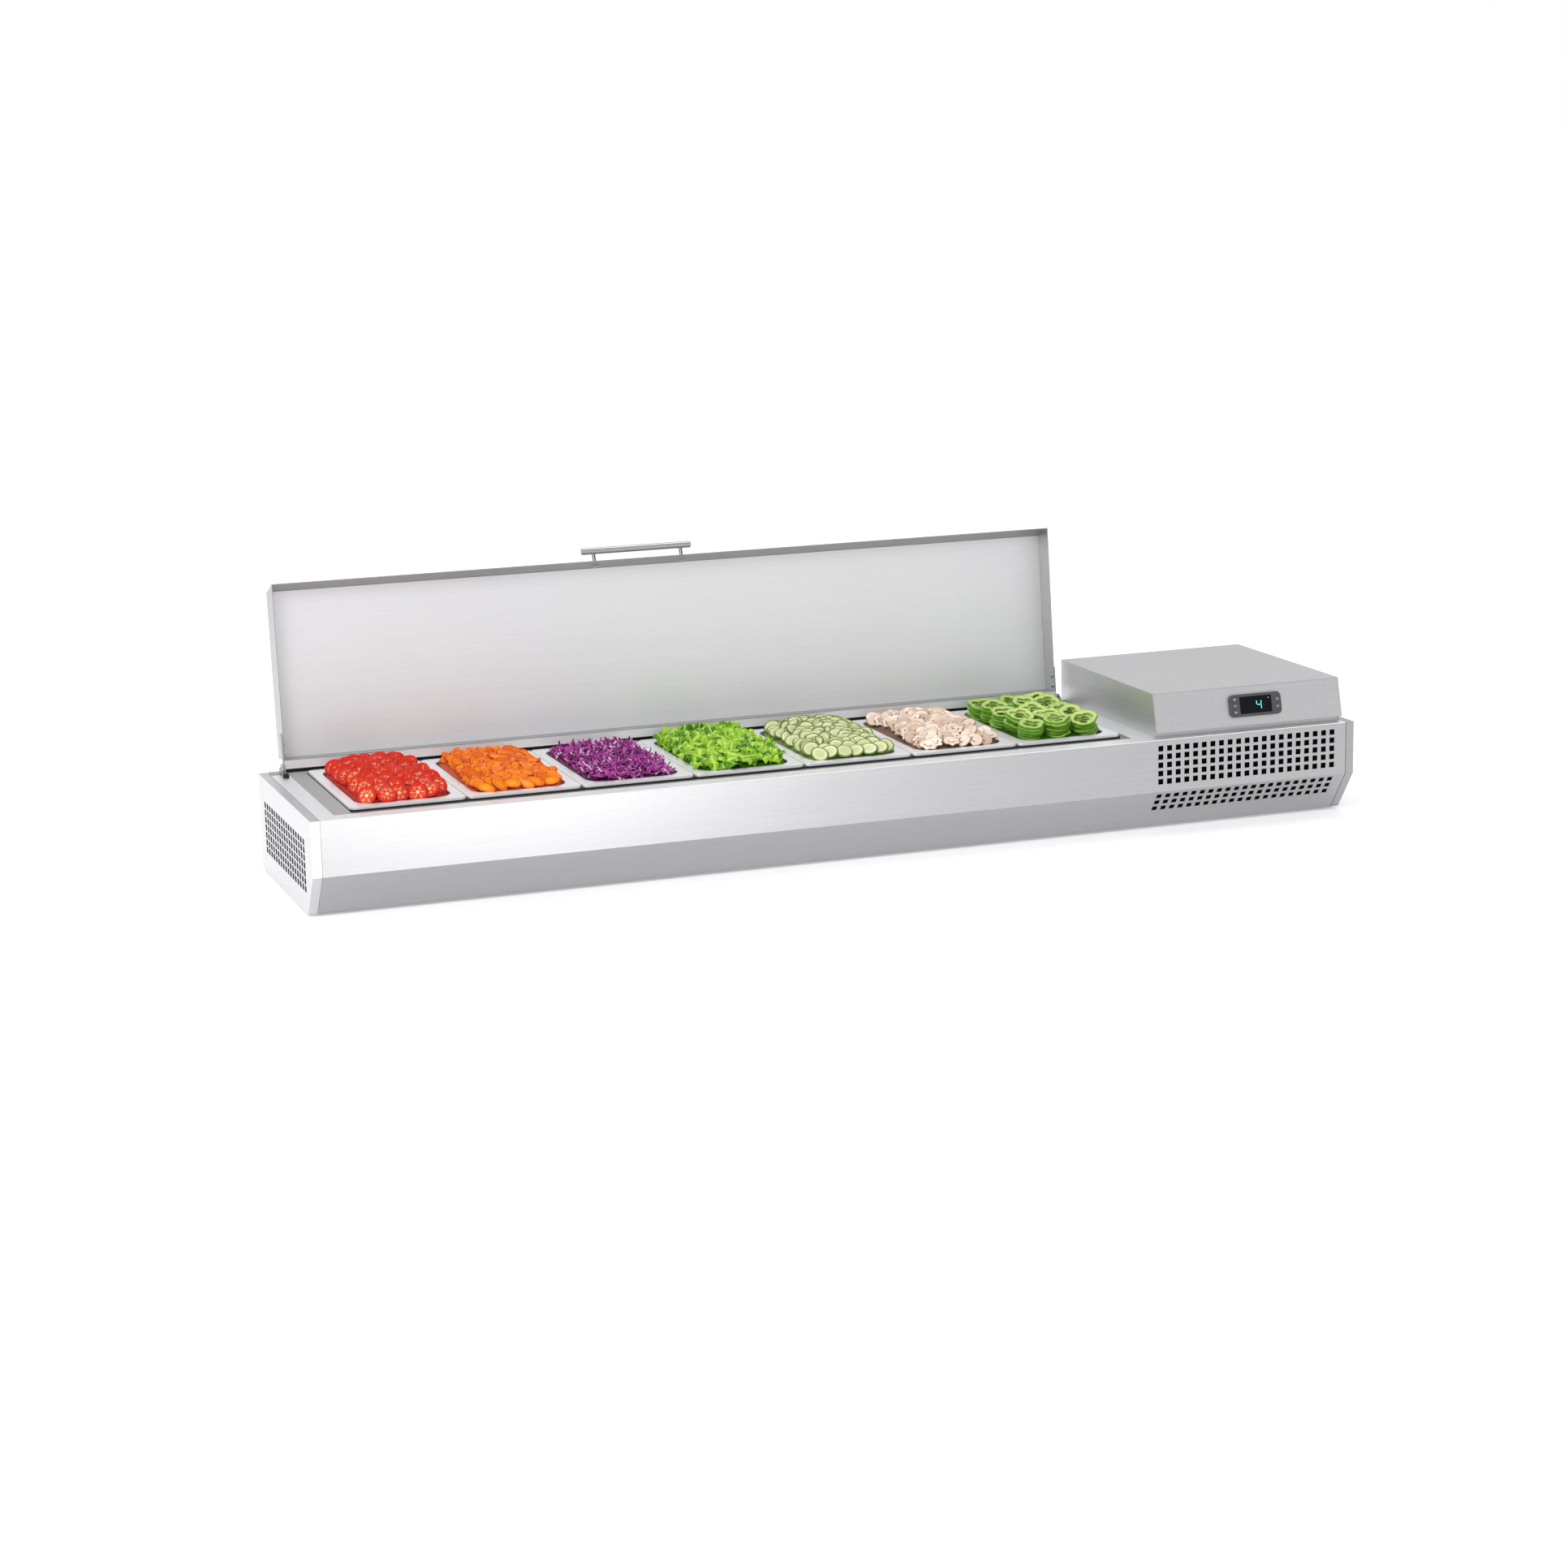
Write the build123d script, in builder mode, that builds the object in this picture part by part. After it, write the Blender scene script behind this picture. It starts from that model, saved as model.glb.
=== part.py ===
"""Refrigerated countertop sandwich prep table with seven food pans and a hinged lid.

The long body holds an insulated well.  The pans hang in the well by their rims.  The
refrigeration unit sits in the right-hand end, under a raised hood with a controller.
All sizes are millimetres.  X runs along the length, Y from front to back, Z upwards.
"""

import os
from math import cos, radians, sin

from build123d import *

os.makedirs("parts", exist_ok=True)

# ---------------------------------------------------------------- driving dimensions
LENGTH = 1560.0
DEPTH = 340.0
FOOT_HEIGHT = 4.0
BODY_HEIGHT = 136.0
SHEET = 1.0
BEVEL_RISE = 59.0
BEVEL_RUN = 43.0
END_STRIP = 12.5
END_LAP = 10.0
SEAM = 0.8
PANEL_RETURN = 14.0
CLEARANCE = 0.2

PAN_COUNT = 7
PAN_WIDTH = 162.0
PAN_LENGTH = 265.0
PAN_PITCH = 163.0
PAN_HEIGHT = 100.0
PAN_RIM = 13.0
PAN_TAPER = 4.0
PAN_CORNER = 26.0
PAN_FLOOR_CORNER = 22.0
RIM_CORNER = 9.0
PANS_LEFT = 65.0
PANS_FRONT = 50.0
RIM_ABOVE_DECK = 3.0
RIM_EDGE = 3.5

OPENING_LEFT = 38.0
OPENING_RIGHT = 1212.0
OPENING_FRONT = 27.0
OPENING_CORNER = 2.0
LEDGE_DROP = 3.0
LEDGE_LEFT = 26.0
LEDGE_RIGHT = 1222.0
LEDGE_FRONT = 18.0
LEDGE_BACK = 328.0
WELL_LEFT = 72.0
WELL_RIGHT = 1199.0
WELL_FRONT = 57.0
WELL_BACK = 308.0
WELL_FLOOR = 34.0

OPEN_ANGLE = 96.0
LID_LEFT = 34.0
LID_RIGHT = 1224.0
LID_REACH = 262.0
LID_HEIGHT = 42.0
LID_SLANT = 14.0
LEAF_WIDTH = 13.0
LINER_RECESS = 33.0
HINGE_LIFT = 6.0
PIN_RADIUS = 3.0
RUNNING_GAP = 0.05
ARM_LENGTH = 50.0
ARM_EYE_RADIUS = 5.5

HANDLE_LEFT = 495.0
HANDLE_RIGHT = 662.0
HANDLE_POSTS = (513.0, 646.0)
HANDLE_RADIUS = 5.0
POST_RADIUS = 2.5
POST_BORE = 1.5
HANDLE_STANDOFF = 21.0

HOOD_LEFT = 1244.0
HOOD_RIGHT = 1547.0
HOOD_HEIGHT = 63.0
HOOD_BASE_FRONT = 21.0
HOOD_FOOT = 10.0
HOOD_LIP_FRONT = 12.0
HOOD_LIP_HEIGHT = 7.0
HOOD_TOP_FRONT = 26.0
HOOD_SIDE_GAP = 0.1

VENT_HOLE = 8.0
GRILLE_COLUMNS = 21
GRILLE_LEFT = 1241.0
GRILLE_RIGHT = 1528.0
GRILLE_ROWS = 5
GRILLE_ROW_PITCH = 12.2
GRILLE_TOP = 9.0
BEVEL_ROWS = 3
BEVEL_ROW_PITCH = 13.0
BEVEL_FIRST_ROW = 9.0
END_VENT_COLUMNS = 17
END_VENT_ROWS = 7
END_VENT_WIDTH = 10.8
END_VENT_HEIGHT = 8.8
END_VENT_COLUMN_PITCH = 15.6
END_VENT_ROW_PITCH = 10.8
END_VENT_Y = 176.0
END_VENT_Z = 70.0
REAR_VENT_X = 1370.0
REAR_VENT_Z = 82.0
REAR_VENT_COLUMNS = 12
REAR_VENT_ROWS = 6

BEZEL_X = 1406.0
BEZEL_WIDTH = 83.0
BEZEL_HEIGHT = 33.0
BEZEL_THICKNESS = 5.0
BEZEL_CORNER = 7.0
SCREEN_WIDTH = 52.0
SCREEN_HEIGHT = 25.0
SCREEN_SHIFT = -0.5
KEY_WIDTH = 7.0
KEY_HEIGHT = 5.5
KEY_GAP = 0.25
KEY_TRAVEL = 0.8

COMPARTMENT_LEFT = 1236.0
FAN_X = 1384.0
FAN_Z = 72.0
FAN_RADIUS = 48.0
COMPRESSOR_X = 1450.0
COMPRESSOR_Y = 240.0
COMPRESSOR_RADIUS = 56.0
TUBE_RADIUS = 3.2

# ---------------------------------------------------------------- derived places
DECK_Z = FOOT_HEIGHT + BODY_HEIGHT
LEDGE_Z = DECK_Z - LEDGE_DROP
RIM_Z = DECK_Z + RIM_ABOVE_DECK
HINGE_Y = PANS_FRONT + PAN_LENGTH + 2.0
HINGE_Z = DECK_Z + HINGE_LIFT
OPENING_BACK = HINGE_Y - 0.5
TURN = -OPEN_ANGLE
LID_TOP_FRONT = -(LID_REACH - LID_SLANT)
OPEN_OVERHANG = LID_TOP_FRONT * cos(radians(TURN)) - LID_HEIGHT * sin(radians(TURN))
OVERALL_DEPTH = HINGE_Y + OPEN_OVERHANG
LEFT = -LENGTH / 2
FRONT = -OVERALL_DEPTH / 2
HOOD_TOP = DECK_Z + HOOD_HEIGHT
PANEL_LEFT = END_STRIP + SEAM
PANEL_RIGHT = LENGTH - END_STRIP - SEAM
PANEL_TOP = DECK_Z - SHEET


# ---------------------------------------------------------------- planes and helpers
def level(z):
    """Horizontal plane; local x from the left end, local y from the front face."""
    return Plane(origin=(LEFT, FRONT, z), x_dir=(1, 0, 0), z_dir=(0, 0, 1))


def section(x):
    """Upright plane across the length; local x from the front face, local y is height."""
    return Plane(origin=(LEFT + x, FRONT, 0), x_dir=(0, 1, 0), z_dir=(1, 0, 0))


def facing_front(y):
    """Upright plane facing the user; local x from the left end, local y is height."""
    return Plane(origin=(LEFT, FRONT + y, 0), x_dir=(1, 0, 0), z_dir=(0, -1, 0))


def facing_back(y):
    """Upright plane facing away from the user; local x is minus the distance from the left."""
    return Plane(origin=(LEFT, FRONT + y, 0), x_dir=(-1, 0, 0), z_dir=(0, 1, 0))


def lid_section(x):
    """Cross-section plane of the open lid; the origin is the hinge axis, and local x
    points away from the front lip, local y away from the mouth."""
    turn = radians(TURN)
    return Plane(
        origin=(LEFT + x, FRONT + HINGE_Y, HINGE_Z),
        x_dir=(0, cos(turn), sin(turn)),
        z_dir=(1, 0, 0),
    )


def hood_face(x, up):
    """Plane on the slanted hood front; local x to the right, local y up the slope."""
    run = HOOD_TOP_FRONT - HOOD_LIP_FRONT
    rise = HOOD_HEIGHT - HOOD_LIP_HEIGHT
    slope = (run**2 + rise**2) ** 0.5
    along = up / slope
    return Plane(
        origin=(
            LEFT + x,
            FRONT + HOOD_LIP_FRONT + run * along,
            DECK_Z + HOOD_LIP_HEIGHT + rise * along,
        ),
        x_dir=(1, 0, 0),
        z_dir=(0, -rise / slope, run / slope),
    )


def slab(x0, x1, y0, y1, z0, z1, mode=Mode.ADD):
    """Rectangular block between two corners, measured from the left, front and floor."""
    with Locations((LEFT + (x0 + x1) / 2, FRONT + (y0 + y1) / 2, (z0 + z1) / 2)):
        Box(x1 - x0, y1 - y0, z1 - z0, mode=mode)


def cylinder_on(plane, at, radius, height, mode=Mode.ADD):
    """Round bar standing on a plane, its base centred at a local point of that plane."""
    with Locations(plane * Pos(at[0], at[1], height / 2)):
        Cylinder(radius, height, mode=mode)


def folded_sheet(points, side):
    """Sheet-metal profile along a polyline, thickened to its left (1) or its right (-1)."""
    corners = [Vector(*point) for point in points]
    runs = [(b - a).normalized() for a, b in zip(corners, corners[1:])]
    normals = [Vector(-run.Y, run.X) * side for run in runs]
    inner = [corners[0] + normals[0] * SHEET]
    for corner, before, after in zip(corners[1:], normals, normals[1:]):
        inner.append(corner + (before + after) * (SHEET / (1 + before.dot(after))))
    inner.append(corners[-1] + normals[-1] * SHEET)
    Polygon(*corners, *reversed(inner), align=None)


def body_outline(inset):
    """Outline of the body's end, shrunk by an inset on every side."""
    tilt = (BEVEL_RISE**2 + BEVEL_RUN**2) ** 0.5
    upper = inset * (tilt - BEVEL_RISE) / BEVEL_RUN
    lower = inset * (tilt - BEVEL_RUN) / BEVEL_RISE
    Polygon(
        (inset, FOOT_HEIGHT + BEVEL_RISE + upper),
        (inset, DECK_Z - inset),
        (DEPTH - inset, DECK_Z - inset),
        (DEPTH - inset, FOOT_HEIGHT + inset),
        (BEVEL_RUN + lower, FOOT_HEIGHT + inset),
        align=None,
    )


def finish(part, name):
    """Label a finished piece and write its file."""
    part.label = name
    export_step(part, f"parts/{name}.step")


# ---------------------------------------------------------------- body panels
def end_panel(name, outer_x, inward):
    """Vented end cap whose folded edge ends in a joggled lap under the long panels."""
    with BuildPart() as cap:
        with BuildSketch(section(outer_x)):
            body_outline(0)
        extrude(amount=inward * END_STRIP)
        with BuildSketch(section(outer_x + inward * SHEET)):
            body_outline(SHEET)
        extrude(amount=inward * (END_STRIP + END_LAP - SHEET))
        with BuildSketch(section(outer_x + inward * SHEET)):
            body_outline(2 * SHEET)
        extrude(amount=inward * (END_STRIP + END_LAP), mode=Mode.SUBTRACT)
        with BuildSketch(section(outer_x - inward * SHEET)):
            with Locations((END_VENT_Y, END_VENT_Z)):
                with GridLocations(
                    END_VENT_COLUMN_PITCH, END_VENT_ROW_PITCH, END_VENT_COLUMNS, END_VENT_ROWS
                ):
                    Rectangle(END_VENT_WIDTH, END_VENT_HEIGHT)
        extrude(amount=inward * SHEET * 3, mode=Mode.SUBTRACT)
    finish(cap.part, name)


end_panel("left_end_panel", 0, 1)
end_panel("right_end_panel", LENGTH, -1)

grille_pitch = (GRILLE_RIGHT - GRILLE_LEFT - VENT_HOLE) / (GRILLE_COLUMNS - 1)
grille_centre = (GRILLE_LEFT + GRILLE_RIGHT) / 2
grille_rows_centre = DECK_Z - GRILLE_TOP - VENT_HOLE / 2 - GRILLE_ROW_PITCH * (GRILLE_ROWS - 1) / 2
bevel_length = (BEVEL_RISE**2 + BEVEL_RUN**2) ** 0.5
bevel_plane = Plane(
    origin=(LEFT + grille_centre, FRONT, FOOT_HEIGHT + BEVEL_RISE),
    x_dir=(1, 0, 0),
    z_dir=(0, -BEVEL_RISE / bevel_length, -BEVEL_RUN / bevel_length),
)

with BuildPart() as front_panel:
    with BuildSketch(section(PANEL_LEFT)):
        folded_sheet(
            [
                (0, PANEL_TOP),
                (0, FOOT_HEIGHT + BEVEL_RISE),
                (BEVEL_RUN, FOOT_HEIGHT),
                (BEVEL_RUN + PANEL_RETURN, FOOT_HEIGHT),
            ],
            1,
        )
    extrude(amount=PANEL_RIGHT - PANEL_LEFT)
    with BuildSketch(facing_front(SHEET * 2)):
        with Locations((grille_centre, grille_rows_centre)):
            with GridLocations(grille_pitch, GRILLE_ROW_PITCH, GRILLE_COLUMNS, GRILLE_ROWS):
                Rectangle(VENT_HOLE, VENT_HOLE)
    extrude(amount=SHEET * 3, mode=Mode.SUBTRACT)
    with BuildSketch(bevel_plane.offset(-SHEET * 2)):
        with Locations((0, -BEVEL_FIRST_ROW - BEVEL_ROW_PITCH * (BEVEL_ROWS - 1) / 2)):
            with GridLocations(grille_pitch, BEVEL_ROW_PITCH, GRILLE_COLUMNS, BEVEL_ROWS):
                Rectangle(VENT_HOLE, VENT_HOLE)
    extrude(amount=SHEET * 3, mode=Mode.SUBTRACT)
finish(front_panel.part, "front_panel")

GLAND_X = 1500.0
GLAND_Z = 40.0
GLAND_THREAD_RADIUS = 8.0

with BuildPart() as rear_panel:
    slab(PANEL_LEFT, PANEL_RIGHT, DEPTH - SHEET, DEPTH, FOOT_HEIGHT + SHEET, PANEL_TOP)
    with BuildSketch(facing_back(DEPTH - SHEET * 2)):
        with Locations((-REAR_VENT_X, REAR_VENT_Z)):
            with GridLocations(
                grille_pitch, GRILLE_ROW_PITCH, REAR_VENT_COLUMNS, REAR_VENT_ROWS
            ):
                Rectangle(VENT_HOLE, VENT_HOLE)
        with Locations((-GLAND_X, GLAND_Z)):
            Circle(GLAND_THREAD_RADIUS + CLEARANCE)
    extrude(amount=SHEET * 4, mode=Mode.SUBTRACT)
finish(rear_panel.part, "rear_panel")

DRAIN_X = 1120.0
DRAIN_Y = 182.0
DRAIN_RADIUS = 8.0
DRAIN_HOLE_GAP = 0.3
FOOT_RADIUS = 15.0
FOOT_SPOTS = [(x, y) for x in (60.0, 780.0, 1500.0) for y in (75.0, 310.0)]

with BuildPart() as base_tray:
    slab(
        PANEL_LEFT, PANEL_RIGHT, BEVEL_RUN + PANEL_RETURN, DEPTH,
        FOOT_HEIGHT, FOOT_HEIGHT + SHEET,
    )
    cylinder_on(
        level(0), (DRAIN_X, DRAIN_Y), DRAIN_RADIUS + DRAIN_HOLE_GAP, 2 * FOOT_HEIGHT,
        Mode.SUBTRACT,
    )
finish(base_tray.part, "base_tray")

OPENING_CENTRE = ((OPENING_LEFT + OPENING_RIGHT) / 2, (OPENING_FRONT + OPENING_BACK) / 2)
OPENING_SIZE = (OPENING_RIGHT - OPENING_LEFT, OPENING_BACK - OPENING_FRONT)
SERVICE_MARGIN = 6.0
SERVICE_FRONT = 40.0

with BuildPart() as deck_top:
    slab(PANEL_LEFT, PANEL_RIGHT, 0, DEPTH, PANEL_TOP, DECK_Z)
    with BuildSketch(level(LEDGE_Z)):
        with Locations(OPENING_CENTRE):
            RectangleRounded(
                OPENING_SIZE[0] + 2 * SHEET, OPENING_SIZE[1] + 2 * SHEET, OPENING_CORNER + SHEET
            )
    extrude(amount=LEDGE_DROP)
    with BuildSketch(level(LEDGE_Z)):
        with Locations(OPENING_CENTRE):
            RectangleRounded(OPENING_SIZE[0], OPENING_SIZE[1], OPENING_CORNER)
    extrude(amount=LEDGE_DROP, mode=Mode.SUBTRACT)
    slab(
        HOOD_LEFT + SERVICE_MARGIN, HOOD_RIGHT - SERVICE_MARGIN,
        SERVICE_FRONT, DEPTH - SERVICE_MARGIN, PANEL_TOP, DECK_Z, Mode.SUBTRACT,
    )
finish(deck_top.part, "deck_top")

COIL_Z = 30.5
COIL_FRONT = 90.0
COIL_RUN_PITCH = 38.0
COIL_RUNS = 6
COIL_LEFT = 110.0
COIL_RIGHT = 1170.0
COIL_END = COIL_RIGHT + 60.0
COIL_BACK = COIL_FRONT + (COIL_RUNS - 1) * COIL_RUN_PITCH
BULKHEAD_INSET = 2.3
PIPE_HOLE_GAP = 1.5

with BuildPart() as bulkhead:
    with BuildSketch(section(COMPARTMENT_LEFT - 2 * SHEET)):
        body_outline(BULKHEAD_INSET)
    extrude(amount=SHEET)
    with BuildSketch(section(COMPARTMENT_LEFT - 3 * SHEET)):
        with Locations((COIL_FRONT, COIL_Z), (COIL_BACK, COIL_Z)):
            Circle(TUBE_RADIUS + PIPE_HOLE_GAP)
    extrude(amount=3 * SHEET, mode=Mode.SUBTRACT)
finish(bulkhead.part, "bulkhead")

with BuildPart() as rubber_feet:
    for spot in FOOT_SPOTS:
        cylinder_on(level(0), spot, FOOT_RADIUS, FOOT_HEIGHT)
finish(rubber_feet.part, "rubber_feet")

# ---------------------------------------------------------------- well
with BuildPart() as well_liner:
    slab(LEDGE_LEFT, LEDGE_RIGHT, LEDGE_FRONT, LEDGE_BACK, LEDGE_Z - SHEET, LEDGE_Z)
    slab(
        WELL_LEFT - SHEET, WELL_RIGHT + SHEET, WELL_FRONT - SHEET, WELL_BACK + SHEET,
        WELL_FLOOR, LEDGE_Z - SHEET,
    )
    slab(
        WELL_LEFT, WELL_RIGHT, WELL_FRONT, WELL_BACK, WELL_FLOOR + SHEET, DECK_Z, Mode.SUBTRACT
    )
    cylinder_on(
        level(WELL_FLOOR - SHEET), (DRAIN_X, DRAIN_Y), DRAIN_RADIUS, 3 * SHEET, Mode.SUBTRACT
    )
finish(well_liner.part, "well_liner")

FOAM_LEFT = 24.0
FOAM_RIGHT = COMPARTMENT_LEFT - 2.4
FOAM_INSET = 1.6
LINER_HALF_GAP = SHEET + CLEARANCE
CHAMBER_LEFT = 84.0
CHAMBER_RIGHT = 1190.0
CHAMBER_FRONT = 70.0
CHAMBER_BACK = 300.0
CHAMBER_FLOOR = 25.0
CHASE_WIDTH = 12.0
CHASE_HEIGHT = 11.0

with BuildPart() as foam_insulation:
    with BuildSketch(section(FOAM_LEFT)):
        body_outline(FOAM_INSET)
    extrude(amount=FOAM_RIGHT - FOAM_LEFT)
    slab(0, LENGTH, 0, DEPTH, LEDGE_Z - SHEET - CLEARANCE, DECK_Z, Mode.SUBTRACT)
    slab(
        WELL_LEFT - LINER_HALF_GAP, WELL_RIGHT + LINER_HALF_GAP,
        WELL_FRONT - LINER_HALF_GAP, WELL_BACK + LINER_HALF_GAP,
        WELL_FLOOR - CLEARANCE, DECK_Z, Mode.SUBTRACT,
    )
    slab(
        CHAMBER_LEFT, CHAMBER_RIGHT, CHAMBER_FRONT, CHAMBER_BACK, CHAMBER_FLOOR, DECK_Z,
        Mode.SUBTRACT,
    )
    for pipe_y in (COIL_FRONT, COIL_BACK):
        slab(
            CHAMBER_RIGHT - CHASE_WIDTH, COMPARTMENT_LEFT,
            pipe_y - CHASE_WIDTH / 2, pipe_y + CHASE_WIDTH / 2,
            CHAMBER_FLOOR, CHAMBER_FLOOR + CHASE_HEIGHT, Mode.SUBTRACT,
        )
    cylinder_on(
        level(0), (DRAIN_X, DRAIN_Y), DRAIN_RADIUS + DRAIN_HOLE_GAP, WELL_FLOOR, Mode.SUBTRACT
    )
finish(foam_insulation.part, "foam_insulation")

DRAIN_TIP = 1.0
DRAIN_WALL = 2.0
DRAIN_FLANGE = 4.0
DRAIN_FLANGE_HEIGHT = 1.2

with BuildPart() as drain_spout:
    cylinder_on(
        level(DRAIN_TIP), (DRAIN_X, DRAIN_Y), DRAIN_RADIUS - CLEARANCE / 2,
        WELL_FLOOR + SHEET - DRAIN_TIP,
    )
    cylinder_on(
        level(WELL_FLOOR + SHEET), (DRAIN_X, DRAIN_Y), DRAIN_RADIUS + DRAIN_FLANGE,
        DRAIN_FLANGE_HEIGHT,
    )
    cylinder_on(
        level(0), (DRAIN_X, DRAIN_Y), DRAIN_RADIUS - DRAIN_WALL, DECK_Z, Mode.SUBTRACT
    )
finish(drain_spout.part, "drain_spout")

coil_points = [(COIL_END, COIL_FRONT)]
for run in range(COIL_RUNS):
    run_y = COIL_FRONT + run * COIL_RUN_PITCH
    ends = (COIL_RIGHT, COIL_LEFT) if run % 2 == 0 else (COIL_LEFT, COIL_RIGHT)
    if run > 0:
        coil_points.append((ends[0], run_y))
    if run < COIL_RUNS - 1:
        coil_points.append((ends[1], run_y))
coil_points.append((COIL_END, COIL_BACK))

with BuildPart() as evaporator_coil:
    with BuildLine(level(COIL_Z)):
        FilletPolyline(*coil_points, radius=COIL_RUN_PITCH / 2 - 0.5)
    with BuildSketch(section(COIL_END)):
        with Locations((COIL_FRONT, COIL_Z)):
            Circle(TUBE_RADIUS)
    sweep()
finish(evaporator_coil.part, "evaporator_coil")

PANS_RIGHT = PANS_LEFT + (PAN_COUNT - 1) * PAN_PITCH + PAN_WIDTH
PANS_BACK = PANS_FRONT + PAN_LENGTH
GASKET_INSET = 0.4
GASKET_TO_WELL = 0.6
GASKET_TOP = RIM_Z - RIM_EDGE - 0.1

with BuildPart() as pan_gasket:
    slab(
        PANS_LEFT + GASKET_INSET, PANS_RIGHT - GASKET_INSET,
        PANS_FRONT + GASKET_INSET, PANS_BACK - GASKET_INSET, LEDGE_Z, GASKET_TOP,
    )
    slab(
        WELL_LEFT + GASKET_TO_WELL, WELL_RIGHT - GASKET_TO_WELL,
        WELL_FRONT + GASKET_TO_WELL, WELL_BACK - GASKET_TO_WELL, LEDGE_Z, RIM_Z, Mode.SUBTRACT,
    )
finish(pan_gasket.part, "pan_gasket")

SPACER_GAP = 0.8
SPACER_TO_PAN = 1.5
SPACER_DROP = 0.6

with BuildPart() as spacer_plate:
    slab(
        OPENING_LEFT + SPACER_GAP, PANS_LEFT - SPACER_TO_PAN,
        OPENING_FRONT + SPACER_GAP, OPENING_BACK - SPACER_GAP, LEDGE_Z, DECK_Z - SPACER_DROP,
    )
finish(spacer_plate.part, "spacer_plate")

PROBE_X = 720.0
PROBE_RADIUS = 2.5
PROBE_BOTTOM = 95.0
PROBE_LENGTH = 36.0
PROBE_TO_WALL = 2.6
CLIP_HALF = 6.0
CLIP_THICKNESS = 0.6
CLIP_BOTTOM = 104.0
CLIP_HEIGHT = 8.0

with BuildPart() as temperature_probe:
    cylinder_on(
        level(PROBE_BOTTOM), (PROBE_X, WELL_BACK - PROBE_TO_WALL), PROBE_RADIUS, PROBE_LENGTH
    )
    slab(
        PROBE_X - CLIP_HALF, PROBE_X + CLIP_HALF, WELL_BACK - CLIP_THICKNESS, WELL_BACK,
        CLIP_BOTTOM, CLIP_BOTTOM + CLIP_HEIGHT,
    )
finish(temperature_probe.part, "temperature_probe")


# ---------------------------------------------------------------- food pans
def food_pan(index):
    """Pressed steel pan hung by a wide rim with a turned-down edge."""
    centre = (
        PANS_LEFT + index * PAN_PITCH + PAN_WIDTH / 2,
        PANS_FRONT + PAN_LENGTH / 2,
    )
    mouth = (PAN_WIDTH - 2 * PAN_RIM, PAN_LENGTH - 2 * PAN_RIM)
    floor = (mouth[0] - 2 * PAN_TAPER, mouth[1] - 2 * PAN_TAPER)
    wall = 2 * SHEET
    floor_z = RIM_Z - PAN_HEIGHT
    with BuildPart() as pan:
        with BuildSketch(level(RIM_Z - RIM_EDGE)):
            with Locations(centre):
                RectangleRounded(PAN_WIDTH, PAN_LENGTH, RIM_CORNER)
        extrude(amount=RIM_EDGE)
        with BuildSketch(level(RIM_Z - RIM_EDGE - SHEET)):
            with Locations(centre):
                RectangleRounded(PAN_WIDTH - wall, PAN_LENGTH - wall, RIM_CORNER - SHEET)
        extrude(amount=RIM_EDGE, mode=Mode.SUBTRACT)
        with BuildSketch(level(floor_z)):
            with Locations(centre):
                RectangleRounded(floor[0], floor[1], PAN_FLOOR_CORNER)
        with BuildSketch(level(RIM_Z - SHEET)):
            with Locations(centre):
                RectangleRounded(mouth[0], mouth[1], PAN_CORNER)
        loft()
        with BuildSketch(level(floor_z + SHEET)):
            with Locations(centre):
                RectangleRounded(floor[0] - wall, floor[1] - wall, PAN_FLOOR_CORNER - SHEET)
        with BuildSketch(level(RIM_Z)):
            with Locations(centre):
                RectangleRounded(mouth[0] - wall, mouth[1] - wall, PAN_CORNER - SHEET)
        loft(mode=Mode.SUBTRACT)
    finish(pan.part, f"pan_{index + 1}")


for pan_index in range(PAN_COUNT):
    food_pan(pan_index)

# ---------------------------------------------------------------- lid
LID_WIDTH = LID_RIGHT - LID_LEFT
lid_slope = (LID_SLANT**2 + LID_HEIGHT**2) ** 0.5
ARM_BOLTS = ((-22.0, 9.0), (-37.0, 9.0))
ARM_BOLT_RADIUS = 2.0
ARM_BOLT_LENGTH = 2.8
BOLT_HOLE_GAP = 0.1
SCREW_HEAD = 2.2
POST_SCREW_LENGTH = 4.0
ARM_THICKNESS = 1.8
LINER_GAP = 0.1
LID_FOAM_GAP = 0.5

# A point of the slanted lid front and the direction in which that face looks.
front_mid = (-(LID_REACH - LID_SLANT / 2), LID_HEIGHT / 2)
front_normal = (-LID_HEIGHT / lid_slope, LID_SLANT / lid_slope)


def lid_point(x, local):
    """Row-frame point of a local lid section point."""
    return lid_section(x).from_local_coords(Vector(local[0], local[1], 0))


def post_plane(x, distance):
    """Plane square to the slanted lid front, a distance outwards from it."""
    local = (
        front_mid[0] + front_normal[0] * distance,
        front_mid[1] + front_normal[1] * distance,
    )
    outward = lid_point(x, (local[0] + front_normal[0], local[1] + front_normal[1]))
    origin = lid_point(x, local)
    return Plane(origin=origin, x_dir=(1, 0, 0), z_dir=outward - origin)


def inner_front(height):
    """Local x of the slanted front's inner face at a height above the mouth."""
    return -(LID_REACH - LID_SLANT * height / LID_HEIGHT) + SHEET * lid_slope / LID_HEIGHT


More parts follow.
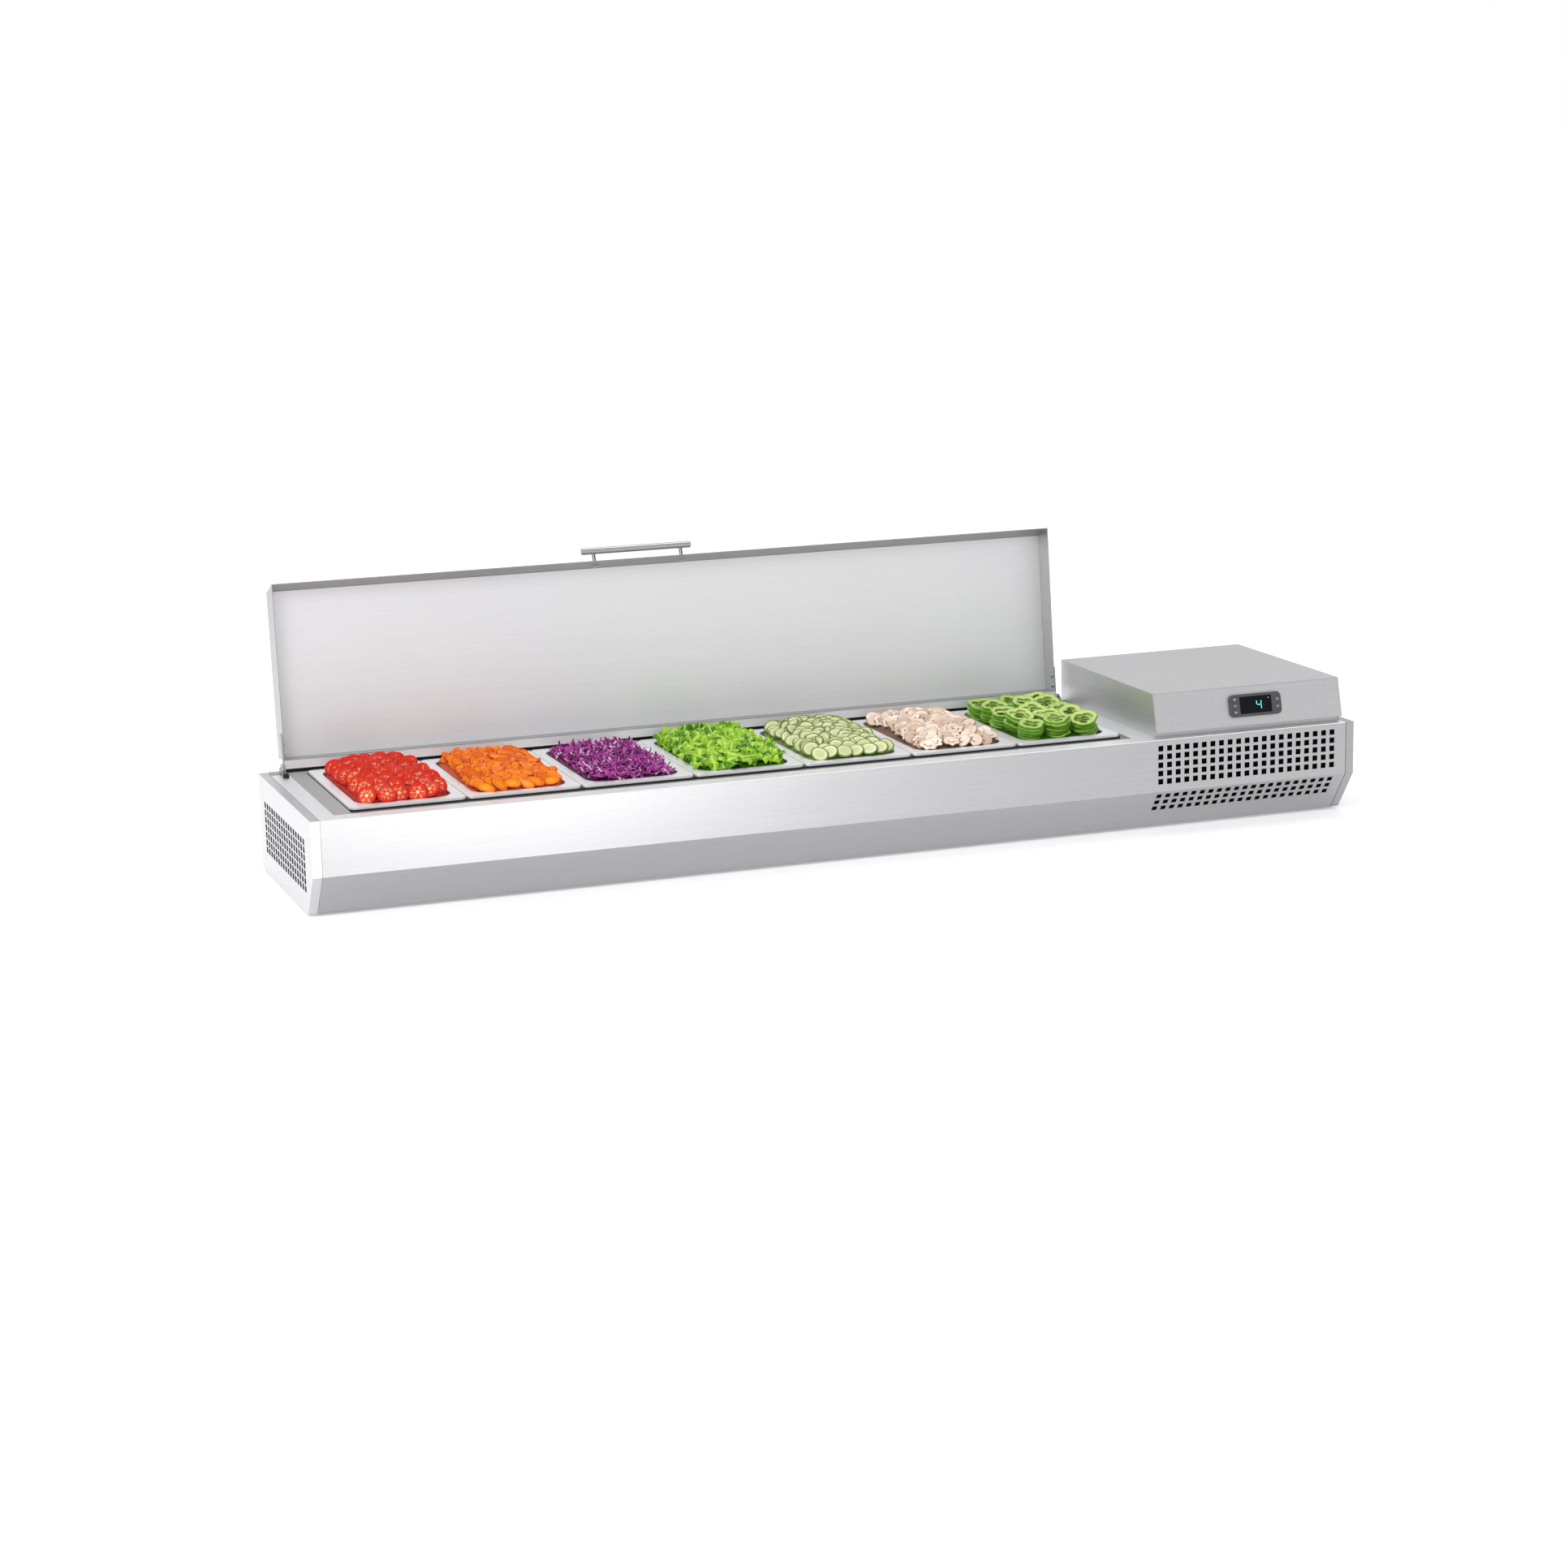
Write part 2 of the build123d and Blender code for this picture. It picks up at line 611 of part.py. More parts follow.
with BuildPart() as lid_skin:
    with BuildSketch(lid_section(LID_LEFT)):
        Polygon(
            (-LEAF_WIDTH, 0),
            (-LEAF_WIDTH, LID_HEIGHT),
            (LID_TOP_FRONT, LID_HEIGHT),
            (-LID_REACH, 0),
            align=None,
        )
    extrude(amount=LID_WIDTH)
    with BuildSketch(lid_section(LID_LEFT + SHEET)):
        Polygon(
            (-LEAF_WIDTH - SHEET, -1),
            (-LEAF_WIDTH - SHEET, LID_HEIGHT - SHEET),
            (inner_front(LID_HEIGHT - SHEET), LID_HEIGHT - SHEET),
            (inner_front(-1), -1),
            align=None,
        )
    extrude(amount=LID_WIDTH - 2 * SHEET, mode=Mode.SUBTRACT)
    for bolt in ARM_BOLTS:
        for hole_x in (LID_LEFT - SHEET, LID_RIGHT - 2 * SHEET):
            cylinder_on(
                lid_section(hole_x), bolt, ARM_BOLT_RADIUS + BOLT_HOLE_GAP, 3 * SHEET,
                Mode.SUBTRACT,
            )
    for post_x in HANDLE_POSTS:
        cylinder_on(
            post_plane(post_x, -2 * SHEET), (0, 0), POST_BORE + BOLT_HOLE_GAP, 3 * SHEET,
            Mode.SUBTRACT,
        )
finish(lid_skin.part, "lid_skin")

with BuildPart() as lid_liner:
    with BuildSketch(lid_section(LID_LEFT + SHEET + LINER_GAP)):
        Polygon(
            (-LEAF_WIDTH - SHEET - LINER_GAP, LINER_RECESS),
            (-LEAF_WIDTH - SHEET - LINER_GAP, LINER_RECESS + SHEET),
            (inner_front(LINER_RECESS + SHEET) + CLEARANCE, LINER_RECESS + SHEET),
            (inner_front(LINER_RECESS) + CLEARANCE, LINER_RECESS),
            align=None,
        )
    extrude(amount=LID_WIDTH - 2 * SHEET - 2 * LINER_GAP)
finish(lid_liner.part, "lid_liner")

with BuildPart() as lid_insulation:
    with BuildSketch(lid_section(LID_LEFT + SHEET + LID_FOAM_GAP)):
        Polygon(
            (-LEAF_WIDTH - SHEET - LID_FOAM_GAP, LINER_RECESS + SHEET),
            (-LEAF_WIDTH - SHEET - LID_FOAM_GAP, LID_HEIGHT - SHEET),
            (inner_front(LID_HEIGHT - SHEET) + LID_FOAM_GAP, LID_HEIGHT - SHEET),
            (inner_front(LINER_RECESS + SHEET) + LID_FOAM_GAP, LINER_RECESS + SHEET),
            align=None,
        )
    extrude(amount=LID_WIDTH - 2 * SHEET - 2 * LID_FOAM_GAP)
finish(lid_insulation.part, "lid_insulation")

LEAF_THICKNESS = 1.2
LEAF_UPSTAND = 12.0

with BuildPart() as hinge_leaf:
    with BuildSketch(lid_section(LID_LEFT)):
        Polygon(
            (-SHEET, 0), (-SHEET, LEAF_THICKNESS),
            (-LEAF_WIDTH + LEAF_THICKNESS, LEAF_THICKNESS),
            (-LEAF_WIDTH + LEAF_THICKNESS, LEAF_UPSTAND),
            (-LEAF_WIDTH, LEAF_UPSTAND), (-LEAF_WIDTH, 0), align=None,
        )
    extrude(amount=LID_WIDTH)
finish(hinge_leaf.part, "hinge_leaf")


ARM_LOWER = ((-12.0, 0.6), (-ARM_LENGTH, 1.0))
ARM_HEIGHT = 15.0


def hinge_arm(start_x):
    """Arm plate with an eye round the hinge pin and two bolt holes."""
    with BuildSketch(lid_section(start_x)) as arm:
        Circle(ARM_EYE_RADIUS)
        Polygon(
            (0, -ARM_EYE_RADIUS + CLEARANCE), *ARM_LOWER, (-ARM_LENGTH, ARM_HEIGHT),
            (0, ARM_EYE_RADIUS), align=None,
        )
        Circle(PIN_RADIUS + RUNNING_GAP, mode=Mode.SUBTRACT)
        with Locations(*ARM_BOLTS):
            Circle(ARM_BOLT_RADIUS + BOLT_HOLE_GAP, mode=Mode.SUBTRACT)
    extrude(arm.sketch, amount=ARM_THICKNESS)


with BuildPart() as hinge_arms:
    hinge_arm(LID_LEFT - ARM_THICKNESS)
    hinge_arm(LID_RIGHT)
finish(hinge_arms.part, "hinge_arms")


def hinge_plane(x):
    """Fixed cross-section plane at the hinge axis, local x backwards and local y up."""
    return Plane(
        origin=(LEFT + x, FRONT + HINGE_Y, HINGE_Z), x_dir=(0, 1, 0), z_dir=(1, 0, 0)
    )


BRACKET_THICKNESS = 1.8
WASHER_THICKNESS = 1.4
WASHER_RADIUS = 5.4
WASHER_SPACE = WASHER_THICKNESS + 0.1
BRACKET_LEFT = LID_LEFT - ARM_THICKNESS - WASHER_SPACE - BRACKET_THICKNESS
BRACKET_RIGHT = LID_RIGHT + ARM_THICKNESS + WASHER_SPACE
BRACKET_HALF = 9.0
BRACKET_FOOT_LEFT = 14.0
BRACKET_FOOT_FRONT = HINGE_Y + 1.0
BRACKET_FOOT_DEPTH = 17.0
BRACKET_FOOT_THICKNESS = 1.5
BRACKET_OVERLAP = 0.5
PIN_HEAD = 3.0
PIN_HEAD_RADIUS = 4.4
PIN_TIP_GAP = 0.1


def hinge_bracket(start_x, foot_from, foot_to):
    """Upright ear round the hinge pin, on a foot plate screwed to the deck."""
    with BuildSketch(hinge_plane(start_x)) as ear:
        Circle(BRACKET_HALF)
        with Locations((0, -HINGE_LIFT / 2)):
            Rectangle(2 * BRACKET_HALF, HINGE_LIFT)
        with Locations((0, -HINGE_LIFT - BRACKET_HALF / 2)):
            Rectangle(3 * BRACKET_HALF, BRACKET_HALF, mode=Mode.SUBTRACT)
        Circle(PIN_RADIUS, mode=Mode.SUBTRACT)
    extrude(ear.sketch, amount=BRACKET_THICKNESS)
    slab(
        foot_from, foot_to, BRACKET_FOOT_FRONT, BRACKET_FOOT_FRONT + BRACKET_FOOT_DEPTH,
        DECK_Z, DECK_Z + BRACKET_FOOT_THICKNESS,
    )


with BuildPart() as hinge_brackets:
    hinge_bracket(BRACKET_LEFT, BRACKET_FOOT_LEFT, BRACKET_LEFT + BRACKET_OVERLAP)
    hinge_bracket(BRACKET_RIGHT, BRACKET_RIGHT + BRACKET_OVERLAP, HOOD_LEFT - BRACKET_OVERLAP)
finish(hinge_brackets.part, "hinge_brackets")

with BuildPart() as hinge_pins:
    cylinder_on(
        hinge_plane(BRACKET_LEFT), (0, 0), PIN_RADIUS, LID_LEFT - BRACKET_LEFT - PIN_TIP_GAP
    )
    with BuildSketch(hinge_plane(BRACKET_LEFT - PIN_HEAD)):
        RegularPolygon(PIN_HEAD_RADIUS, 6)
    extrude(amount=PIN_HEAD)
    cylinder_on(
        hinge_plane(LID_RIGHT + PIN_TIP_GAP), (0, 0), PIN_RADIUS,
        BRACKET_RIGHT + BRACKET_THICKNESS - LID_RIGHT - PIN_TIP_GAP,
    )
    with BuildSketch(hinge_plane(BRACKET_RIGHT + BRACKET_THICKNESS)):
        RegularPolygon(PIN_HEAD_RADIUS, 6)
    extrude(amount=PIN_HEAD)
finish(hinge_pins.part, "hinge_pins")

with BuildPart() as hinge_washers:
    for washer_x in (BRACKET_LEFT + BRACKET_THICKNESS, BRACKET_RIGHT - WASHER_THICKNESS):
        cylinder_on(hinge_plane(washer_x), (0, 0), WASHER_RADIUS, WASHER_THICKNESS)
        cylinder_on(
            hinge_plane(washer_x - SHEET), (0, 0), PIN_RADIUS + RUNNING_GAP, 4 * SHEET,
            Mode.SUBTRACT,
        )
finish(hinge_washers.part, "hinge_washers")

with BuildPart() as lid_screws:
    for bolt in ARM_BOLTS:
        for shank_x, head_x in (
            (LID_LEFT - ARM_THICKNESS, LID_LEFT + SHEET),
            (LID_RIGHT - SHEET, LID_RIGHT - SHEET - SCREW_HEAD),
        ):
            cylinder_on(lid_section(shank_x), bolt, ARM_BOLT_RADIUS, ARM_BOLT_LENGTH)
            cylinder_on(lid_section(head_x), bolt, 2 * ARM_BOLT_RADIUS, SCREW_HEAD)
    for post_x in HANDLE_POSTS:
        cylinder_on(post_plane(post_x, -SHEET), (0, 0), POST_BORE, POST_SCREW_LENGTH)
        cylinder_on(
            post_plane(post_x, -SHEET - SCREW_HEAD), (0, 0), 2 * ARM_BOLT_RADIUS, SCREW_HEAD
        )
finish(lid_screws.part, "lid_screws")

POST_TO_BAR = 2.0
BAR_CHAMFER = 0.8
SOCKET_START = HANDLE_STANDOFF - 8.0

with BuildPart() as handle_posts:
    for post_x in HANDLE_POSTS:
        cylinder_on(post_plane(post_x, 0), (0, 0), POST_RADIUS, HANDLE_STANDOFF - POST_TO_BAR)
        cylinder_on(
            post_plane(post_x, -SHEET), (0, 0), POST_BORE, POST_SCREW_LENGTH + 0.1, Mode.SUBTRACT
        )
finish(handle_posts.part, "handle_posts")

with BuildPart() as handle_bar:
    bar_start = post_plane(HANDLE_LEFT, HANDLE_STANDOFF)
    with BuildSketch(Plane(origin=bar_start.origin, x_dir=bar_start.z_dir, z_dir=(1, 0, 0))):
        Circle(HANDLE_RADIUS)
    extrude(amount=HANDLE_RIGHT - HANDLE_LEFT)
    chamfer(handle_bar.faces().filter_by(Axis.X).edges(), BAR_CHAMFER)
    for post_x in HANDLE_POSTS:
        cylinder_on(
            post_plane(post_x, SOCKET_START), (0, 0), POST_RADIUS,
            HANDLE_STANDOFF - POST_TO_BAR - SOCKET_START, Mode.SUBTRACT,
        )
finish(handle_bar.part, "handle_bar")

BUMPER_Y = 292.0
BUMPER_BASE_RADIUS = 4.5
BUMPER_TIP_RADIUS = 3.5
BUMPER_BASE_HEIGHT = 4.0
BUMPER_SPOTS = (LID_LEFT - 4, LID_RIGHT + 3)

with BuildPart() as lid_bumpers:
    for bumper_x in BUMPER_SPOTS:
        cylinder_on(level(DECK_Z), (bumper_x, BUMPER_Y), BUMPER_BASE_RADIUS, BUMPER_BASE_HEIGHT)
        cylinder_on(
            level(DECK_Z + BUMPER_BASE_HEIGHT), (bumper_x, BUMPER_Y), BUMPER_TIP_RADIUS,
            HINGE_LIFT - BUMPER_BASE_HEIGHT - CLEARANCE,
        )
finish(lid_bumpers.part, "lid_bumpers")

# ---------------------------------------------------------------- compressor hood
with BuildPart() as hood_cover:
    with BuildSketch(section(HOOD_LEFT)):
        Polygon(
            (HOOD_BASE_FRONT, DECK_Z),
            (HOOD_BASE_FRONT, DECK_Z + HOOD_LIP_HEIGHT),
            (HOOD_LIP_FRONT, DECK_Z + HOOD_LIP_HEIGHT),
            (HOOD_TOP_FRONT, HOOD_TOP),
            (DEPTH, HOOD_TOP),
            (DEPTH, DECK_Z),
            align=None,
        )
    extrude(amount=HOOD_RIGHT - HOOD_LEFT)
    with BuildSketch(section(HOOD_LEFT + SHEET)):
        Polygon(
            (0, PANEL_TOP), (0, HOOD_TOP - SHEET), (DEPTH - SHEET, HOOD_TOP - SHEET),
            (DEPTH - SHEET, PANEL_TOP), align=None,
        )
    extrude(amount=HOOD_RIGHT - HOOD_LEFT - 2 * SHEET, mode=Mode.SUBTRACT)
finish(hood_cover.part, "hood_cover")

hood_run = HOOD_TOP_FRONT - HOOD_LIP_FRONT
hood_rise = HOOD_HEIGHT - HOOD_LIP_HEIGHT
hood_slope = (hood_run**2 + hood_rise**2) ** 0.5
BEZEL_UP = hood_slope * 0.5
controller_face = hood_face(BEZEL_X, BEZEL_UP)
CUT_WIDTH = BEZEL_WIDTH - 8.0
CUT_HEIGHT = BEZEL_HEIGHT - 5.0
front_drop = SHEET + HOOD_SIDE_GAP

with BuildPart() as hood_front:
    with BuildSketch(section(HOOD_LEFT + SHEET + HOOD_SIDE_GAP)):
        folded_sheet(
            [
                (HOOD_BASE_FRONT + HOOD_FOOT, DECK_Z),
                (HOOD_BASE_FRONT, DECK_Z),
                (HOOD_BASE_FRONT, DECK_Z + HOOD_LIP_HEIGHT),
                (HOOD_LIP_FRONT, DECK_Z + HOOD_LIP_HEIGHT),
                (HOOD_TOP_FRONT - hood_run / hood_rise * front_drop, HOOD_TOP - front_drop),
            ],
            -1,
        )
    extrude(amount=HOOD_RIGHT - HOOD_LEFT - 2 * SHEET - 2 * HOOD_SIDE_GAP)
    with BuildSketch(controller_face.offset(-2 * SHEET)):
        Rectangle(CUT_WIDTH, CUT_HEIGHT)
    extrude(amount=3 * SHEET, mode=Mode.SUBTRACT)
finish(hood_front.part, "hood_front")

# ---------------------------------------------------------------- controller
BEZEL_EDGE = 1.2
SCREEN_CORNER = 1.5
SCREEN_SUNK = 0.8
SCREEN_GAP = 0.2
KEY_CORNER = 1.3
KEY_EDGE = 0.4
KEY_STAND = 1.0
BODY_LENGTH = 40.0
BODY_GAP = 1.0
KEY_SPOTS = [(-34.5, 9.4), (-34.5, 0.0), (-34.5, -9.4), (34.5, 5.4), (34.5, -5.4)]

with BuildPart() as controller_bezel:
    with BuildSketch(controller_face):
        RectangleRounded(BEZEL_WIDTH, BEZEL_HEIGHT, BEZEL_CORNER)
    extrude(amount=BEZEL_THICKNESS)
    fillet(controller_bezel.faces().sort_by(Axis.Y)[0].edges(), BEZEL_EDGE)
    with BuildSketch(controller_face.offset(-SHEET)):
        with Locations((SCREEN_SHIFT, 0)):
            RectangleRounded(SCREEN_WIDTH, SCREEN_HEIGHT, SCREEN_CORNER)
        with Locations(*KEY_SPOTS):
            RectangleRounded(
                KEY_WIDTH + 2 * KEY_GAP, KEY_HEIGHT + 2 * KEY_GAP, KEY_CORNER + KEY_GAP
            )
    extrude(amount=BEZEL_THICKNESS + 2 * SHEET, mode=Mode.SUBTRACT)
finish(controller_bezel.part, "controller_bezel")

with BuildPart() as controller_screen:
    with BuildSketch(controller_face.offset(SCREEN_GAP)):
        with Locations((SCREEN_SHIFT, 0)):
            RectangleRounded(
                SCREEN_WIDTH - 2 * SCREEN_GAP, SCREEN_HEIGHT - 2 * SCREEN_GAP,
                SCREEN_CORNER - SCREEN_GAP,
            )
    extrude(amount=BEZEL_THICKNESS - SCREEN_GAP - SCREEN_SUNK)
finish(controller_screen.part, "controller_screen")

with BuildPart() as controller_body:
    with BuildSketch(controller_face):
        Rectangle(CUT_WIDTH - BODY_GAP, CUT_HEIGHT - BODY_GAP)
    extrude(amount=-BODY_LENGTH)
finish(controller_body.part, "controller_body")


def key(number, spot):
    """Short sprung key that stands just proud of the bezel."""
    with BuildPart() as button:
        with BuildSketch(controller_face.offset(KEY_TRAVEL + SCREEN_GAP)):
            with Locations(spot):
                RectangleRounded(KEY_WIDTH, KEY_HEIGHT, KEY_CORNER)
        extrude(amount=BEZEL_THICKNESS + KEY_STAND - KEY_TRAVEL - SCREEN_GAP)
        fillet(button.faces().sort_by(Axis.Y)[0].edges(), KEY_EDGE)
    finish(button.part, f"button_{number}")


for key_number, key_spot in enumerate(KEY_SPOTS, start=1):
    key(key_number, key_spot)

# ---------------------------------------------------------------- refrigeration unit
PLATE_Z = 20.0
PLATE_THICKNESS = 2.5
PLATE_SIDE = 142.0
PLATE_CORNER = 14.0
GROMMET_OFFSET = 60.0
GROMMET_RADIUS = 9.0
GROMMET_BORE = 3.2
GROMMET_SPOTS = [
    (COMPRESSOR_X + dx, COMPRESSOR_Y + dy)
    for dx in (-GROMMET_OFFSET, GROMMET_OFFSET)
    for dy in (-GROMMET_OFFSET, GROMMET_OFFSET)
]
TRAY_TOP = FOOT_HEIGHT + SHEET

with BuildPart() as compressor_grommets:
    for spot in GROMMET_SPOTS:
        cylinder_on(level(TRAY_TOP), spot, GROMMET_RADIUS, PLATE_Z - TRAY_TOP)
        cylinder_on(level(FOOT_HEIGHT), spot, GROMMET_BORE, PLATE_Z, Mode.SUBTRACT)
finish(compressor_grommets.part, "compressor_grommets")

with BuildPart() as compressor_plate:
    with BuildSketch(level(PLATE_Z)):
        with Locations((COMPRESSOR_X, COMPRESSOR_Y)):
            RectangleRounded(PLATE_SIDE, PLATE_SIDE, PLATE_CORNER)
            with GridLocations(2 * GROMMET_OFFSET, 2 * GROMMET_OFFSET, 2, 2):
                Circle(GROMMET_BORE, mode=Mode.SUBTRACT)
    extrude(amount=PLATE_THICKNESS)
finish(compressor_plate.part, "compressor_plate")

SHELL_Z = PLATE_Z + PLATE_THICKNESS
SHELL_HEIGHT = 138.0
SHELL_DOME = 30.0
SEAM_UP = 62.0
SEAM_HEIGHT = 5.0
SEAM_PROUD = 3.0
COVER_HALF = 26.0
COVER_PROUD = 20.0
COVER_SUNK = 12.0
COVER_BOTTOM = SHELL_Z + 70.0
COVER_HEIGHT = 46.0

with BuildPart() as compressor:
    with BuildSketch(level(SHELL_Z)):
        with Locations((COMPRESSOR_X, COMPRESSOR_Y)):
            Circle(COMPRESSOR_RADIUS)
    extrude(amount=SHELL_HEIGHT)
    fillet(compressor.faces().sort_by(Axis.Z)[-1].edges(), SHELL_DOME)
    with BuildSketch(level(SHELL_Z + SEAM_UP)):
        with Locations((COMPRESSOR_X, COMPRESSOR_Y)):
            Circle(COMPRESSOR_RADIUS + SEAM_PROUD)
    extrude(amount=SEAM_HEIGHT)
    slab(
        COMPRESSOR_X - COVER_HALF, COMPRESSOR_X + COVER_HALF,
        COMPRESSOR_Y - COMPRESSOR_RADIUS - COVER_PROUD,
        COMPRESSOR_Y - COMPRESSOR_RADIUS + COVER_SUNK,
        COVER_BOTTOM, COVER_BOTTOM + COVER_HEIGHT,
    )
finish(compressor.part, "compressor")

CONDENSER_LEFT = 1266.0
CONDENSER_RIGHT = 1502.0
CONDENSER_FRONT = 48.0
CONDENSER_BACK = 74.0
CONDENSER_BOTTOM = 14.0
CONDENSER_TOP = 130.0
FIN_COUNT = 30
FIN_THICKNESS = 0.8
TUBE_ROWS = 4
ROW_TUBE_RADIUS = 4.0
ROW_TUBE_PROUD = 8.0
CONDENSER_MID = (CONDENSER_FRONT + CONDENSER_BACK) / 2

with BuildPart() as condenser:
    fin_pitch = (CONDENSER_RIGHT - CONDENSER_LEFT - FIN_THICKNESS) / (FIN_COUNT - 1)
    with BuildSketch(section(CONDENSER_LEFT)):
        with Locations(
            (CONDENSER_MID, (CONDENSER_BOTTOM + CONDENSER_TOP) / 2)
        ):
            Rectangle(CONDENSER_BACK - CONDENSER_FRONT, CONDENSER_TOP - CONDENSER_BOTTOM)
    extrude(amount=FIN_THICKNESS)
    add([
        condenser.part.moved(Location((fin * fin_pitch, 0, 0)))
        for fin in range(1, FIN_COUNT)
    ])
    row_pitch = (CONDENSER_TOP - CONDENSER_BOTTOM) / TUBE_ROWS
    for row in range(TUBE_ROWS):
        cylinder_on(
            section(CONDENSER_LEFT - ROW_TUBE_PROUD),
            (CONDENSER_MID, CONDENSER_BOTTOM + (row + 0.5) * row_pitch),
            ROW_TUBE_RADIUS, CONDENSER_RIGHT - CONDENSER_LEFT + 2 * ROW_TUBE_PROUD,
        )
finish(condenser.part, "condenser")

SHROUD_FRONT = CONDENSER_BACK + 1.0
SHROUD_THICKNESS = 1.2
RING_DEPTH = 25.0
RING_INNER = FAN_RADIUS + 2.5
RING_OUTER = FAN_RADIUS + 4.0
SHROUD_BACK = SHROUD_FRONT + RING_DEPTH
FAN_AXIS = (-FAN_X, FAN_Z)

with BuildPart() as fan_shroud:
    slab(
        CONDENSER_LEFT, CONDENSER_RIGHT, SHROUD_FRONT, SHROUD_FRONT + SHROUD_THICKNESS,
        TRAY_TOP, CONDENSER_TOP,
    )
    cylinder_on(facing_back(SHROUD_FRONT), FAN_AXIS, RING_OUTER, RING_DEPTH)
    cylinder_on(facing_back(CONDENSER_BACK), FAN_AXIS, RING_INNER, 2 * RING_DEPTH, Mode.SUBTRACT)
finish(fan_shroud.part, "fan_shroud")

SHAFT_RADIUS = 2.5
SHAFT_FRONT = CONDENSER_BACK + 9.0
SHAFT_IN_MOTOR = 10.0
HUB_FRONT = CONDENSER_BACK + 8.0
HUB_LENGTH = 14.0
BLADE_COUNT = 5
BLADE_SPAN = 36.0
BLADE_CHORD = 30.0
BLADE_THICKNESS = 1.4
BLADE_MIDDLE = 29.0
BLADE_TWIST = 28.0
MOTOR_FRONT = SHROUD_BACK + 4.0
MOTOR_DEPTH = 42.0
MOTOR_RADIUS = 22.0
MOTOR_EDGE = 5.0

with BuildPart() as fan_blade:
    cylinder_on(facing_back(HUB_FRONT), FAN_AXIS, HUB_LENGTH, HUB_LENGTH)
    with Locations(facing_back(HUB_FRONT + HUB_LENGTH / 2) * Pos(-FAN_X, FAN_Z, 0)):
        with PolarLocations(0, BLADE_COUNT):
            with Locations(Location((BLADE_MIDDLE, 0, 0), (BLADE_TWIST, 0, 0))):
                Box(BLADE_SPAN, BLADE_CHORD, BLADE_THICKNESS)
    cylinder_on(
        facing_back(CONDENSER_BACK), FAN_AXIS, SHAFT_RADIUS, 2 * RING_DEPTH, Mode.SUBTRACT
    )
finish(fan_blade.part, "fan_blade")

with BuildPart() as fan_shaft:
    cylinder_on(
        facing_back(SHAFT_FRONT), FAN_AXIS, SHAFT_RADIUS,
        MOTOR_FRONT + SHAFT_IN_MOTOR - SHAFT_FRONT,
    )
finish(fan_shaft.part, "fan_shaft")

with BuildPart() as fan_motor:
    cylinder_on(facing_back(MOTOR_FRONT), FAN_AXIS, MOTOR_RADIUS, MOTOR_DEPTH)
    fillet(fan_motor.faces().sort_by(Axis.Y)[-1].edges(), MOTOR_EDGE)
    cylinder_on(
        facing_back(MOTOR_FRONT - SHEET), FAN_AXIS, SHAFT_RADIUS + RUNNING_GAP,
        SHAFT_IN_MOTOR + 3 * SHEET, Mode.SUBTRACT,
    )
finish(fan_motor.part, "fan_motor")

BRACKET_REACH = 2 * FAN_RADIUS + 8.0
BRACKET_ARM = 14.0
SPIDER_BORE = 8.0
SPIDER_PLATE = 2.0
MOTOR_PAD_RADIUS = 20.0

with BuildPart() as motor_bracket:
    with BuildSketch(facing_back(SHROUD_BACK)):
        with Locations(FAN_AXIS):
            Rectangle(BRACKET_REACH, BRACKET_ARM)
            Rectangle(BRACKET_ARM, BRACKET_REACH)
            Circle(SPIDER_BORE, mode=Mode.SUBTRACT)
    extrude(amount=SPIDER_PLATE)
    with BuildSketch(facing_back(SHROUD_BACK + SPIDER_PLATE)):
        with Locations(FAN_AXIS):
            Circle(MOTOR_PAD_RADIUS)
            Circle(SPIDER_BORE, mode=Mode.SUBTRACT)
    extrude(amount=MOTOR_FRONT - SHROUD_BACK - SPIDER_PLATE)
finish(motor_bracket.part, "motor_bracket")

DRIER_AXIS = (-1262.0, 96.0)
DRIER_FRONT = 140.0
DRIER_LENGTH = 80.0
DRIER_RADIUS = 9.0
DRIER_TAPER = 4.0
DRIER_TAIL = 14.0

with BuildPart() as filter_drier:
    cylinder_on(facing_back(DRIER_FRONT), DRIER_AXIS, DRIER_RADIUS, DRIER_LENGTH)
    chamfer(filter_drier.faces().filter_by(Axis.Y).edges(), DRIER_TAPER)
    cylinder_on(
        facing_back(DRIER_FRONT - DRIER_TAIL), DRIER_AXIS, TUBE_RADIUS,
        DRIER_LENGTH + 2 * DRIER_TAIL,
    )
finish(filter_drier.part, "filter_drier")

TERMINAL_LEFT = 1276.0
TERMINAL_RIGHT = 1346.0
TERMINAL_FRONT = 262.0
TERMINAL_BACK = 330.0
TERMINAL_TOP = 62.0
TERMINAL_CORNER = 3.0

with BuildPart() as terminal_box:
    slab(TERMINAL_LEFT, TERMINAL_RIGHT, TERMINAL_FRONT, TERMINAL_BACK, TRAY_TOP, TERMINAL_TOP)
    fillet(terminal_box.edges().filter_by(Axis.Z), TERMINAL_CORNER)
finish(terminal_box.part, "terminal_box")


def bent_tube(points, radius):
    """Round tube along a bent path given from the left, front and floor."""
    path_points = [Vector(LEFT + x, FRONT + y, z) for x, y, z in points]
    with BuildLine() as path:
        FilletPolyline(*path_points, radius=radius)
    start = path_points[0]
    with BuildSketch(Plane(origin=start, z_dir=path_points[1] - start)) as bore:
        Circle(TUBE_RADIUS)
    sweep(sections=bore.sketch, path=path.wires()[0])


TUBE_BEND = 8.0
TUBE_END_GAP = 0.2
PORT_Z = 76.0
SUCTION_Y = 236.0
SUCTION_DROP_X = 1262.0
DISCHARGE_DROP_X = 1528.0
LOWEST_ROW_Z = CONDENSER_BOTTOM + row_pitch / 2

